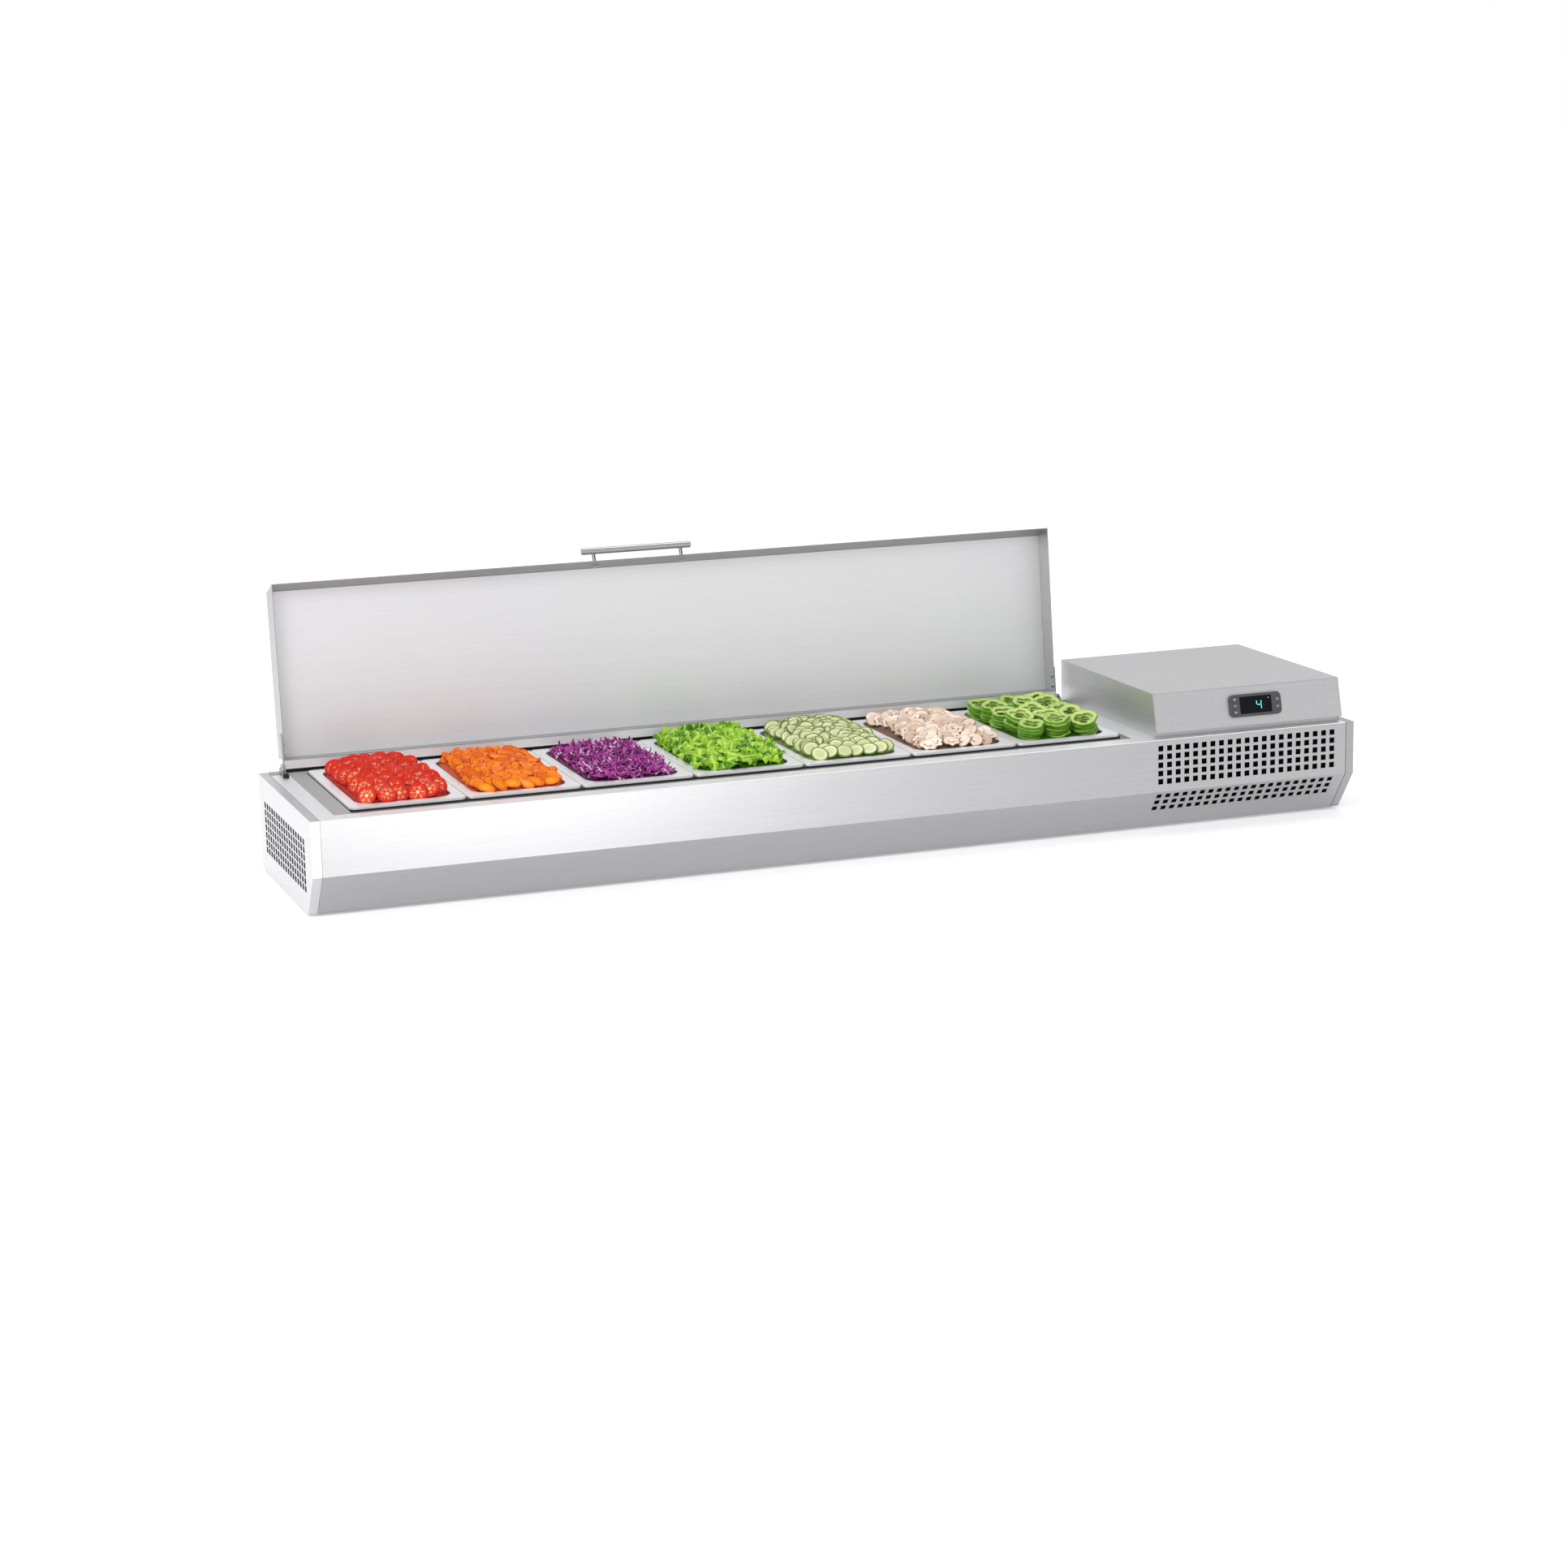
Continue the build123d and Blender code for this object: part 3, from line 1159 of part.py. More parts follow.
with BuildPart() as suction_line:
    bent_tube(
        [
            (COMPARTMENT_LEFT + SHEET, COIL_BACK, COIL_Z),
            (SUCTION_DROP_X, COIL_BACK, COIL_Z),
            (SUCTION_DROP_X, SUCTION_Y, PORT_Z),
            (COMPRESSOR_X - COMPRESSOR_RADIUS - TUBE_END_GAP, SUCTION_Y, PORT_Z),
        ],
        TUBE_BEND,
    )
finish(suction_line.part, "suction_line")

with BuildPart() as discharge_line:
    bent_tube(
        [
            (COMPRESSOR_X + COMPRESSOR_RADIUS + TUBE_END_GAP, COMPRESSOR_Y, PORT_Z),
            (DISCHARGE_DROP_X, COMPRESSOR_Y, PORT_Z),
            (DISCHARGE_DROP_X, CONDENSER_MID, PORT_Z),
            (DISCHARGE_DROP_X, CONDENSER_MID, LOWEST_ROW_Z),
            (CONDENSER_RIGHT + ROW_TUBE_PROUD + TUBE_END_GAP, CONDENSER_MID, LOWEST_ROW_Z),
        ],
        TUBE_BEND,
    )
finish(discharge_line.part, "discharge_line")

GLAND_AXIS = (-GLAND_X, GLAND_Z)
GLAND_BORE = 4.0
GLAND_INSIDE = 10.0
GLAND_NUT_RADIUS = 12.0
GLAND_NUT_HEIGHT = 6.0
GLAND_CAP_RADIUS = 10.0
GLAND_CAP_HEIGHT = 8.0
GLAND_EDGE = 2.0

with BuildPart() as cable_gland:
    cylinder_on(facing_back(DEPTH - GLAND_INSIDE), GLAND_AXIS, GLAND_THREAD_RADIUS, GLAND_INSIDE)
    with BuildSketch(facing_back(DEPTH)):
        with Locations(GLAND_AXIS):
            RegularPolygon(GLAND_NUT_RADIUS, 6)
    extrude(amount=GLAND_NUT_HEIGHT)
    cylinder_on(
        facing_back(DEPTH + GLAND_NUT_HEIGHT), GLAND_AXIS, GLAND_CAP_RADIUS, GLAND_CAP_HEIGHT
    )
    fillet(cable_gland.faces().sort_by(Axis.Y)[-1].edges(), GLAND_EDGE)
    cylinder_on(
        facing_back(DEPTH - GLAND_INSIDE - SHEET), GLAND_AXIS, GLAND_BORE,
        GLAND_INSIDE + GLAND_NUT_HEIGHT + GLAND_CAP_HEIGHT + 2 * SHEET, Mode.SUBTRACT,
    )
finish(cable_gland.part, "cable_gland")

# ---------------------------------------------------------------- body screws
SCREW_HEAD_RADIUS = 4.0
BODY_SCREW_COLUMNS = (30.0, 280.0, 530.0, 780.0, 1030.0, 1225.0)
BODY_SCREW_ROWS = (24.0, 128.0)
HOOD_SCREW_MARGIN = 12.0
SCREW_SPOTS = [(x, z) for x in BODY_SCREW_COLUMNS for z in BODY_SCREW_ROWS]
SCREW_SPOTS += [
    (x, DECK_Z + HOOD_SCREW_MARGIN)
    for x in (HOOD_LEFT + HOOD_SCREW_MARGIN, HOOD_RIGHT - HOOD_SCREW_MARGIN)
]

with BuildPart() as body_screws:
    for screw_x, screw_z in SCREW_SPOTS:
        cylinder_on(facing_back(DEPTH), (-screw_x, screw_z), SCREW_HEAD_RADIUS, SCREW_HEAD)
finish(body_screws.part, "body_screws")
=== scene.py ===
"""Looks of a refrigerated countertop sandwich prep table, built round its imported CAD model.

The CAD nodes keep their shape and get finished materials.  Food, the display's digits and the
key symbols are separate pieces that ride on the pans and the keys.  Lengths are metres.
"""

import math
import random

import bpy
from mathutils import Matrix, Vector


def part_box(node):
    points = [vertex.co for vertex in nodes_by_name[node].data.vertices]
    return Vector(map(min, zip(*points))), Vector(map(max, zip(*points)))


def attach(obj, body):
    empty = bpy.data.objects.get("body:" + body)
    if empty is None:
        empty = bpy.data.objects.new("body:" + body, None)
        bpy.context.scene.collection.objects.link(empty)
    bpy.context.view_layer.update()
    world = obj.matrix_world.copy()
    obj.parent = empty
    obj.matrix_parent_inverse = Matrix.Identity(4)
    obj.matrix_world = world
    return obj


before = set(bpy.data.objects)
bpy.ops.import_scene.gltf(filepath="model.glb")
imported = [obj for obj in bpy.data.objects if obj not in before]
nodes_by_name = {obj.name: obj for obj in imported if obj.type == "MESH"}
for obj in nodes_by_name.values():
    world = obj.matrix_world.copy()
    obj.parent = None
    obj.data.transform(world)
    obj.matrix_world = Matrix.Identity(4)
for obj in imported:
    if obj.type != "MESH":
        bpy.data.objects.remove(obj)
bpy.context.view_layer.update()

MM = 0.001


# ---------------------------------------------------------------- camera
CAMERA_LOCATION = Vector((-1.6731, -4.4915, 1.1230))
CAMERA_YAW = math.radians(19.93)
CAMERA_PITCH = math.radians(12.26)
CAMERA_ROLL = math.radians(-1.17)
CAMERA_LENS = 77.57


def make_camera():
    """Long lens from the front left, a little above the deck."""
    forward = Vector((
        math.sin(CAMERA_YAW) * math.cos(CAMERA_PITCH),
        math.cos(CAMERA_YAW) * math.cos(CAMERA_PITCH),
        -math.sin(CAMERA_PITCH),
    ))
    level_right = Vector((math.cos(CAMERA_YAW), -math.sin(CAMERA_YAW), 0))
    level_up = level_right.cross(forward)
    right = math.cos(CAMERA_ROLL) * level_right + math.sin(CAMERA_ROLL) * level_up
    up = -math.sin(CAMERA_ROLL) * level_right + math.cos(CAMERA_ROLL) * level_up
    data = bpy.data.cameras.new("camera")
    data.sensor_width = 36
    data.lens = CAMERA_LENS
    data.clip_end = 100
    camera = bpy.data.objects.new("camera", data)
    turn = Matrix((right, up, -forward)).transposed().to_4x4()
    camera.matrix_world = Matrix.Translation(CAMERA_LOCATION) @ turn
    bpy.context.scene.collection.objects.link(camera)
    bpy.context.scene.camera = camera


# ---------------------------------------------------------------- node graphs
class Graph:
    """A material's node tree with a Principled shader, and short ways to add nodes."""

    def __init__(self, name):
        self.material = bpy.data.materials.new(name)
        self.material.use_nodes = True
        self.tree = self.material.node_tree
        self.shader = self.tree.nodes["Principled BSDF"]

    def add(self, kind, inputs=None, **settings):
        node = self.tree.nodes.new("ShaderNode" + kind)
        for key, value in settings.items():
            setattr(node, key, value)
        for key, value in (inputs or {}).items():
            self.feed(node.inputs[key], value)
        return node

    def feed(self, socket, value):
        if isinstance(value, bpy.types.NodeSocket):
            self.tree.links.new(value, socket)
        else:
            socket.default_value = value

    def set(self, **inputs):
        for key, value in inputs.items():
            self.feed(self.shader.inputs[key.replace("_", " ")], value)

    def math(self, operation, a, b=0.0, clamp=False):
        return self.add("Math", {0: a, 1: b}, operation=operation, use_clamp=clamp).outputs[0]

    def noise(self, vector, scale, detail=3.0, roughness=0.5):
        made = self.add(
            "TexNoise",
            {"Vector": vector, "Scale": scale, "Detail": detail, "Roughness": roughness},
        )
        return made.outputs["Fac"]

    def scaled(self, vector, scale):
        return self.add("Mapping", {"Vector": vector, "Scale": scale}).outputs[0]

    def spread(self, value, low, high, to_low, to_high):
        made = self.add("MapRange", {0: value, 1: low, 2: high, 3: to_low, 4: to_high})
        return made.outputs[0]

    def mix(self, factor, a, b):
        made = self.add("Mix", data_type="RGBA")
        self.feed(made.inputs[0], factor)
        self.feed(made.inputs[6], a)
        self.feed(made.inputs[7], b)
        return made.outputs[2]

    def ramp(self, value, stops):
        made = self.add("ValToRGB", {"Fac": value})
        elements = made.color_ramp.elements
        elements[0].position, elements[0].color = stops[0]
        elements[1].position, elements[1].color = stops[-1]
        for position, color in stops[1:-1]:
            elements.new(position).color = color
        return made.outputs[0]

    def bump(self, height, strength, distance, edge=None):
        inputs = {"Height": height, "Strength": strength, "Distance": distance}
        if edge:
            rounded = self.add("Bevel", {"Radius": edge}, samples=4)
            inputs["Normal"] = rounded.outputs[0]
        return self.add("Bump", inputs).outputs[0]


def rgb(r, g, b):
    return (r, g, b, 1.0)


def grey(v):
    return (v, v, v * 1.01, 1.0)


BRUSH_LINE = (4, 1100, 1100)
BRUSH_LINE_ACROSS = (1100, 4, 1100)
SPECKLE_GRAIN = (150, 420, 420)
END_FACING = 0.6


def brushed(name, tone, roughness, contrast=0.06, relief=0.05, edge=0.4 * MM, end_light_gain=1.0):
    """Stainless steel with fine brush lines along the length, or front to back on the ends.

    The end faces, which look along X, carry painted light: a gain makes them brighter than the
    rest.
    """
    g = Graph(name)
    coords = g.add("TexCoord")
    place = coords.outputs["Object"]
    facing = g.add("SeparateXYZ", {0: coords.outputs["Normal"]}).outputs[0]
    is_end = g.math("GREATER_THAN", g.math("ABSOLUTE", facing), END_FACING)
    along = g.noise(g.scaled(place, BRUSH_LINE), 1.0, 4.0, 0.6)
    across = g.noise(g.scaled(place, BRUSH_LINE_ACROSS), 1.0, 4.0, 0.6)
    grain = g.add("Mix", {0: is_end, 2: along, 3: across}).outputs[0]
    clouds = g.noise(place, 5.0, 3.0, 0.55)
    speckle = g.noise(g.scaled(place, SPECKLE_GRAIN), 1.0, 5.0, 0.75)
    grain = g.math("ADD", g.math("MULTIPLY", grain, 0.55), g.math("MULTIPLY", speckle, 0.45))
    grain = g.spread(grain, 0.36, 0.64, 0.0, 1.0)
    shade = g.mix(grain, grey(tone * (1 - contrast)), grey(min(1.0, tone * (1 + contrast))))
    # Painted light: a brighter copy of the steel tone for the end faces.
    end_painted_light = g.mix(
        grain,
        grey(min(1.0, end_light_gain * tone * (1 - contrast))),
        grey(min(1.0, end_light_gain * tone * (1 + contrast))),
    )
    haze = g.math("ADD", g.math("MULTIPLY", clouds, 0.10), roughness - 0.08)
    g.set(
        Base_Color=g.mix(is_end, shade, end_painted_light),
        Metallic=1.0,
        Roughness=g.math("ADD", haze, g.math("MULTIPLY", grain, 0.06)),
        Normal=g.bump(grain, relief, 0.05 * MM, edge),
    )
    return g


def cap_steel(name, tone, roughness, inward, end_light_gain):
    """Brushed steel whose inner face is near-black: painted shade inside the cabinet."""
    g = brushed(name, tone, roughness, end_light_gain=end_light_gain)
    facing = g.add("SeparateXYZ", {0: g.add("TexCoord").outputs["Normal"]}).outputs[0]
    # Painted shade: faces turned into the cabinet are near-black and not metal.
    inner_painted_shade = g.math("GREATER_THAN", g.math("MULTIPLY", facing, inward), END_FACING)
    bare = g.shader.inputs["Base Color"].links[0].from_socket
    g.set(
        Base_Color=g.mix(inner_painted_shade, bare, grey(0.02)),
        Metallic=g.math("SUBTRACT", 1.0, inner_painted_shade),
    )
    return g.material


def plain_metal(name, color, roughness, scale=160.0, relief=0.12):
    """Plated or cast metal with a faint mottled surface."""
    g = Graph(name)
    place = g.add("TexCoord").outputs["Object"]
    mottle = g.noise(place, scale, 4.0)
    darker = tuple(c * 0.82 for c in color[:3]) + (1.0,)
    g.set(
        Base_Color=g.mix(mottle, darker, color),
        Metallic=1.0,
        Roughness=g.spread(mottle, 0.3, 0.7, roughness - 0.07, roughness + 0.08),
        Normal=g.bump(mottle, relief, 0.1 * MM, 0.3 * MM),
    )
    return g.material


def moulded(name, color, roughness, grain=1400.0, relief=0.15, coat=0.0, specular=0.5):
    """Moulded plastic, rubber or paint with fine surface texture."""
    g = Graph(name)
    place = g.add("TexCoord").outputs["Object"]
    texture = g.noise(place, grain, 2.0)
    cloud = g.noise(place, 25.0, 3.0)
    darker = tuple(c * 0.8 for c in color[:3]) + (1.0,)
    g.set(
        Base_Color=g.mix(cloud, darker, color),
        Roughness=g.spread(texture, 0.3, 0.7, roughness - 0.05, roughness + 0.07),
        Coat_Weight=coat,
        Normal=g.bump(texture, relief, 0.1 * MM, 0.3 * MM),
    )
    g.shader.inputs["Specular IOR Level"].default_value = specular
    return g.material


def glowing(name, color, strength):
    """Light-emitting surface with a faint unevenness, over a dark base."""
    g = Graph(name)
    place = g.add("TexCoord").outputs["Object"]
    flicker = g.noise(place, 900.0, 1.0)
    lit = tuple(c * 1.15 for c in color[:3]) + (1.0,)
    g.set(
        Base_Color=rgb(0.02, 0.05, 0.05),
        Emission_Color=g.mix(flicker, color, lit),
        Emission_Strength=strength,
        Roughness=0.3,
    )
    return g.material


# ---------------------------------------------------------------- materials of the CAD nodes
def paint_nodes():
    """Give every CAD node its finished material."""
    # Painted light and shade: one stainless steel in lit and shaded copies, a tone per part, from
    # the pans, deck, lid inside and hinge leaf at the brightest to the body, lid shell and right
    # end at the darkest.
    steel = brushed("steel_brushed", 0.42, 0.37, contrast=0.065).material
    lid_shell = brushed("steel_lid_shell", 0.40, 0.36, contrast=0.08, end_light_gain=1.3).material
    deck = brushed("steel_deck", 0.88, 0.44, contrast=0.04).material
    lid_inner = brushed("steel_lid_inner", 0.78, 0.60, contrast=0.04, relief=0.03).material
    hood_steel = brushed("steel_hood", 0.52, 0.44, contrast=0.085, end_light_gain=1.2).material
    pan_steel = brushed(
        "steel_pans", 0.97, 0.44, contrast=0.02, relief=0.02, edge=0.6 * MM,
    ).material
    left_cap = cap_steel("steel_left_cap", 0.60, 0.42, inward=1.0, end_light_gain=1.2)
    right_cap = cap_steel("steel_right_cap", 0.38, 0.38, inward=-1.0, end_light_gain=1.2)
    # Painted reflection: the polished handle bar, and its posts darker still, get grey tones that
    # stand in for the dark surroundings they mirror.
    handle_painted_reflection = plain_metal("handle_polished_painted_reflection", grey(0.46), 0.16, scale=60.0, relief=0.03)
    post_painted_reflection = plain_metal("post_polished_painted_reflection", grey(0.16), 0.20, scale=60.0, relief=0.03)
    plated = plain_metal("zinc_plated", rgb(0.55, 0.56, 0.58), 0.35)
    spacer = moulded("spacer_grey", grey(0.34), 0.42, grain=900.0, relief=0.08)
    rubber = moulded("rubber_black", grey(0.012), 0.75)
    foam = moulded("foam_dark", grey(0.03), 0.9, grain=500.0, relief=0.5)
    copper = plain_metal("copper_tube", rgb(0.72, 0.36, 0.20), 0.30)
    fins = plain_metal("condenser_aluminium", rgb(0.30, 0.31, 0.33), 0.45)
    black_paint = moulded(
        "compressor_paint", grey(0.015), 0.28, grain=700.0, relief=0.1, coat=0.4,
    )
    plastic = moulded("plastic_dark", grey(0.035), 0.40, grain=1100.0, relief=0.1)
    bezel = moulded(
        "plastic_bezel", rgb(0.075, 0.075, 0.082), 0.40, grain=1200.0, relief=0.08, specular=0.3,
    )
    screen = moulded(
        "screen_black", rgb(0.004, 0.005, 0.006), 0.22, grain=300.0, relief=0.02, specular=0.10,
    )
    keys = moulded("plastic_keys", rgb(0.11, 0.115, 0.125), 0.42, grain=1300.0, relief=0.1)
    choice = {
        "spacer_plate": spacer, "lid_liner": lid_inner, "hood_cover": hood_steel,
        "hood_front": hood_steel, "left_end_panel": left_cap, "right_end_panel": right_cap,
        "deck_top": deck, "lid_skin": lid_shell, "hinge_leaf": lid_inner,
        "handle_bar": handle_painted_reflection, "handle_posts": post_painted_reflection,
        "hinge_pins": plated, "lid_screws": plated, "body_screws": plated,
        "fan_shroud": plated, "motor_bracket": plated, "compressor_plate": plated,
        "fan_shaft": plated, "pan_gasket": rubber, "rubber_feet": rubber,
        "lid_bumpers": rubber, "compressor_grommets": rubber, "foam_insulation": foam,
        "lid_insulation": foam, "evaporator_coil": copper, "suction_line": copper,
        "discharge_line": copper, "filter_drier": copper, "condenser": fins,
        "compressor": black_paint, "controller_bezel": bezel, "controller_screen": screen,
        "controller_body": plastic, "terminal_box": plastic, "cable_gland": plastic,
        "fan_blade": plastic, "fan_motor": plastic, "hinge_washers": rubber,
        "drain_spout": plastic, "temperature_probe": plated,
    }
    for name, node in nodes_by_name.items():
        material = choice.get(name, steel)
        if name.startswith("pan_") and name != "pan_gasket":
            material = pan_steel
        if name.startswith("button_"):
            material = keys
        node.data.materials.clear()
        node.data.materials.append(material)


# ---------------------------------------------------------------- mesh building
def grid_faces(across, down, start=0, flip=False):
    """Quads over a grid of points stored row by row, from the point numbered start."""
    row = across + 1
    faces = []
    for j in range(down):
        for i in range(across):
            a = start + j * row + i
            quad = (a, a + 1, a + row + 1, a + row)
            faces.append((quad[0], quad[3], quad[2], quad[1]) if flip else quad)
    return faces


def grid_rim(across, down):
    """Numbers of a grid's outer points, in order round it."""
    row = across + 1
    rim = list(range(row)) + [j * row + across for j in range(1, down + 1)]
    rim += [down * row + i for i in range(across - 1, -1, -1)]
    return rim + [j * row for j in range(down - 1, 0, -1)]


def side_walls(rim, back):
    """Quads that join a rim to the same rim, back points further on."""
    return [(a, a + back, b + back, b) for a, b in zip(rim, rim[1:] + rim[:1])]


class Pile:
    """Many small shapes gathered into one mesh, each with its own local map and tone."""

    def __init__(self):
        self.points = []
        self.faces = []
        self.map = []
        self.tones = []

    def add(self, shape, matrix, tone):
        points, faces, local = shape
        start = len(self.points)
        self.points += [matrix @ Vector(p) for p in points]
        self.faces += [tuple(start + i for i in face) for face in faces]
        self.map += local
        self.tones += [tone] * len(points)

    def build(self, name, material, body, smooth=True):
        mesh = bpy.data.meshes.new(name)
        mesh.from_pydata(self.points, [], self.faces)
        layer = mesh.uv_layers.new(name="local")
        tone = mesh.attributes.new("tone", "FLOAT", "POINT")
        for i, value in enumerate(self.tones):
            tone.data[i].value = value
        for loop in mesh.loops:
            layer.data[loop.index].uv = self.map[loop.vertex_index]
        mesh.polygons.foreach_set("use_smooth", [smooth] * len(mesh.polygons))
        mesh.materials.append(material)
        piece = bpy.data.objects.new(name, mesh)
        bpy.context.scene.collection.objects.link(piece)
        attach(piece, body)
        return piece


def plate(outline, thickness, rounding=0.18):
    """Flat closed shape from an outline function of angle, with softened edges."""
    count = 22
    rings = (
        (0.0, 0.5), (0.55, 0.5), (1 - rounding, 0.5), (1.0, 0.22),
        (1.0, -0.22), (1 - rounding, -0.5), (0.0, -0.5),
    )
    points, local = [], []
    for size, height in rings:
        for i in range(1 if size == 0.0 else count):
            angle = 2 * math.pi * i / count
            reach = outline(angle)
            x, y = size * reach * math.cos(angle), size * reach * math.sin(angle)
            points.append((x, y, height * thickness))
            local.append((0.5 + 0.5 * size * math.cos(angle), 0.5 + 0.5 * size * math.sin(angle)))
    faces = [(0, 1 + i, 1 + (i + 1) % count) for i in range(count)]
    for ring in range(len(rings) - 3):
        a, b = 1 + ring * count, 1 + (ring + 1) * count
        faces += [
            (a + i, b + i, b + (i + 1) % count, a + (i + 1) % count) for i in range(count)
        ]
    last = len(points) - 1
    rim = last - count
    faces += [(rim + i, last, rim + (i + 1) % count) for i in range(count)]
    return points, faces, local


def ribbon(length, width, thickness, curl, twist, steps):
    """Closed thin strip that curls along its length."""
    points, local, faces = [], [], []
    for i in range(steps + 1):
        t = i / steps
        angle = curl * (t - 0.5)
        x = length * math.sin(angle) / curl
        z = length * (1 - math.cos(angle)) / curl
        lean = twist * (t - 0.5)
        narrow = width * (0.35 + 0.65 * math.sin(math.pi * min(max(t, 0.08), 0.92)))
        for side, rise in ((-1, -1), (1, -1), (1, 1), (-1, 1)):
            y = side * narrow / 2
            points.append((
                x + rise * thickness / 2 * -math.sin(angle),
                y * math.cos(lean),
                z + rise * thickness / 2 * math.cos(angle) + y * math.sin(lean),
            ))
            local.append((t, 0.5 + 0.5 * side))
    for i in range(steps):
        a = 4 * i
        faces += [(a + k, a + (k + 1) % 4, a + 4 + (k + 1) % 4, a + 4 + k) for k in range(4)]
    end = 4 * steps
    faces += [(3, 2, 1, 0), (end, end + 1, end + 2, end + 3)]
    return points, faces, local


def leaf(width, length, wave, phase, thickness):
    """Closed crinkled piece of leaf."""
    across, down = 6, 7
    points, local = [], []
    for side in (0.5, -0.5):
        for j in range(down + 1):
            v = j / down
            for i in range(across + 1):
                u = i / across
                edge = 1 + 0.14 * math.sin(9 * v + phase) * (1 if u > 0.5 else -1)
                x = (u - 0.5) * width * edge
                y = (v - 0.5) * length * (1 + 0.12 * math.sin(7 * u + phase))
                ruffle = (2 * abs(u - 0.5)) ** 1.5
                z = wave * ruffle * math.sin(11 * v + phase + 4 * u)
                z += wave * 0.9 * math.cos(math.pi * (u - 0.5)) + side * thickness
                points.append((x, y, z))
                local.append((u, v))
    back = (across + 1) * (down + 1)
    faces = grid_faces(across, down) + grid_faces(across, down, back, flip=True)
    faces += side_walls(grid_rim(across, down), back)
    return points, faces, local


def ring(radius, height, wall, lobes, phase, wave):
    """Closed lobed, slightly wavy ring, such as a slice across a pepper."""
    around, section = 40, 8
    points, local, faces = [], [], []
    for i in range(around):
        angle = 2 * math.pi * i / around
        crease = abs(math.cos(lobes * angle / 2 + phase)) ** 0.6
        reach = radius * (0.84 + 0.16 * crease)
        width = wall * (1.25 - 0.45 * crease)
        lift = wave * math.sin(2 * angle + 3 * phase)
        for k in range(section):
            turn = 2 * math.pi * k / section
            inward = reach - width / 2 + width / 2 * math.cos(turn)
            rise = height / 2 * math.sin(turn) * (0.75 + 0.25 * math.cos(turn))
            points.append((inward * math.cos(angle), inward * math.sin(angle), rise + lift))
            local.append((0.5 + 0.5 * math.cos(turn), 0.5 + 0.5 * math.sin(turn)))
    for i in range(around):
        a, b = section * i, section * ((i + 1) % around)
        faces += [
            (a + k, b + k, b + (k + 1) % section, a + (k + 1) % section) for k in range(section)
        ]
    return points, faces, local


# ---------------------------------------------------------------- pans and their heaps
RIM_WIDTH = 13 * MM
WALL_CLEARANCE = 2.2 * MM
EDGE_DROP = 2 * MM
CORNER_POWER = 6.0
BED_STEPS = 20
BED_DEPTH = 40 * MM
BED_TAPER = 0.965
BED_UNEVENNESS = 1.2 * MM


class PanSpace:
    """The space inside a pan's mouth, and the height of the heap over it."""

    def __init__(self, number, crown):
        low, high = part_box(f"pan_{number}")
        self.body = f"pan_{number}_body"
        self.centre = Vector(((low[0] + high[0]) / 2, (low[1] + high[1]) / 2, high[2]))
        self.half_x = (high[0] - low[0]) / 2 - RIM_WIDTH - WALL_CLEARANCE
        self.half_y = (high[1] - low[1]) / 2 - RIM_WIDTH - WALL_CLEARANCE
        self.crown = crown

    def height(self, u, v):
        """Heap height above the rim at u, v from -1 to 1."""
        fall = max(0.0, 1 - abs(u) ** 3) * max(0.0, 1 - abs(v) ** 4)
        return -EDGE_DROP + (self.crown + EDGE_DROP) * fall ** 0.6

    def inside(self, u, v):
        return abs(u) ** CORNER_POWER + abs(v) ** CORNER_POWER <= 1.0

    def spot(self, u, v, lift):
        return Vector((
            self.centre.x + u * self.half_x,
            self.centre.y + v * self.half_y,
            self.centre.z + self.height(u, v) + lift,
        ))

    def bed(self, name, material, slot, sink):
        """Closed mound that fills the pan just below the loose pieces."""
        steps = BED_STEPS
        points = []
        for j in range(steps + 1):
            for i in range(steps + 1):
                u, v = 2 * i / steps - 1, 2 * j / steps - 1
                spread = abs(u) ** CORNER_POWER + abs(v) ** CORNER_POWER
                squeeze = max(1.0, spread ** (1 / CORNER_POWER))
                p = self.spot(u / squeeze, v / squeeze, -sink)
                p.z += BED_UNEVENNESS * math.sin(37 * u + 5 * v) * math.cos(29 * v - 3 * u)
                points.append(p)
        bottom = len(points)
        for p in points[:bottom]:
            points.append(Vector((
                self.centre.x + (p.x - self.centre.x) * BED_TAPER,
                self.centre.y + (p.y - self.centre.y) * BED_TAPER,
                self.centre.z - BED_DEPTH,
            )))
        faces = grid_faces(steps, steps) + grid_faces(steps, steps, bottom, flip=True)
        faces += side_walls(grid_rim(steps, steps), bottom)
        mound = Pile()
        mound.add((points, faces, [(0.5, 0.5)] * len(points)), Matrix.Identity(4), 0.3)
        return mound.build(name, material, self.body)

    def scatter(self, rng, across, down, margin, jitter=0.35):
        """Staggered grid of places over the heap, front rows last."""
        for j in range(down):
            v = 1 - 2 * j / (down - 1)
            shift = 0.25 if j % 2 else 0.0
            for i in range(across + 1):
                u = 2 * (i + shift) / across - 1
                u += rng.uniform(-jitter, jitter) / across
                w = v + rng.uniform(-jitter, jitter) / down
                u, w = u * (1 - margin[0]), w * (1 - margin[1])
                if abs(u) <= 1 - margin[0] and self.inside(u / (1 - margin[0] * 0.6), w):
                    yield u, w


def tilted(place, heading, lean, spin):
    """Placement that spins a shape on its own axis, then leans it towards a heading."""
    return (
        Matrix.Translation(place)
        @ Matrix.Rotation(heading, 4, "Z")
        @ Matrix.Rotation(lean, 4, "Y")
        @ Matrix.Rotation(spin - heading, 4, "Z")
    )


# ---------------------------------------------------------------- food materials
FOOD_SPECULAR = 0.16
FOOD_COAT_ROUGHNESS = 0.12
FOOD_SUBSURFACE_RADIUS = (0.004, 0.002, 0.001)


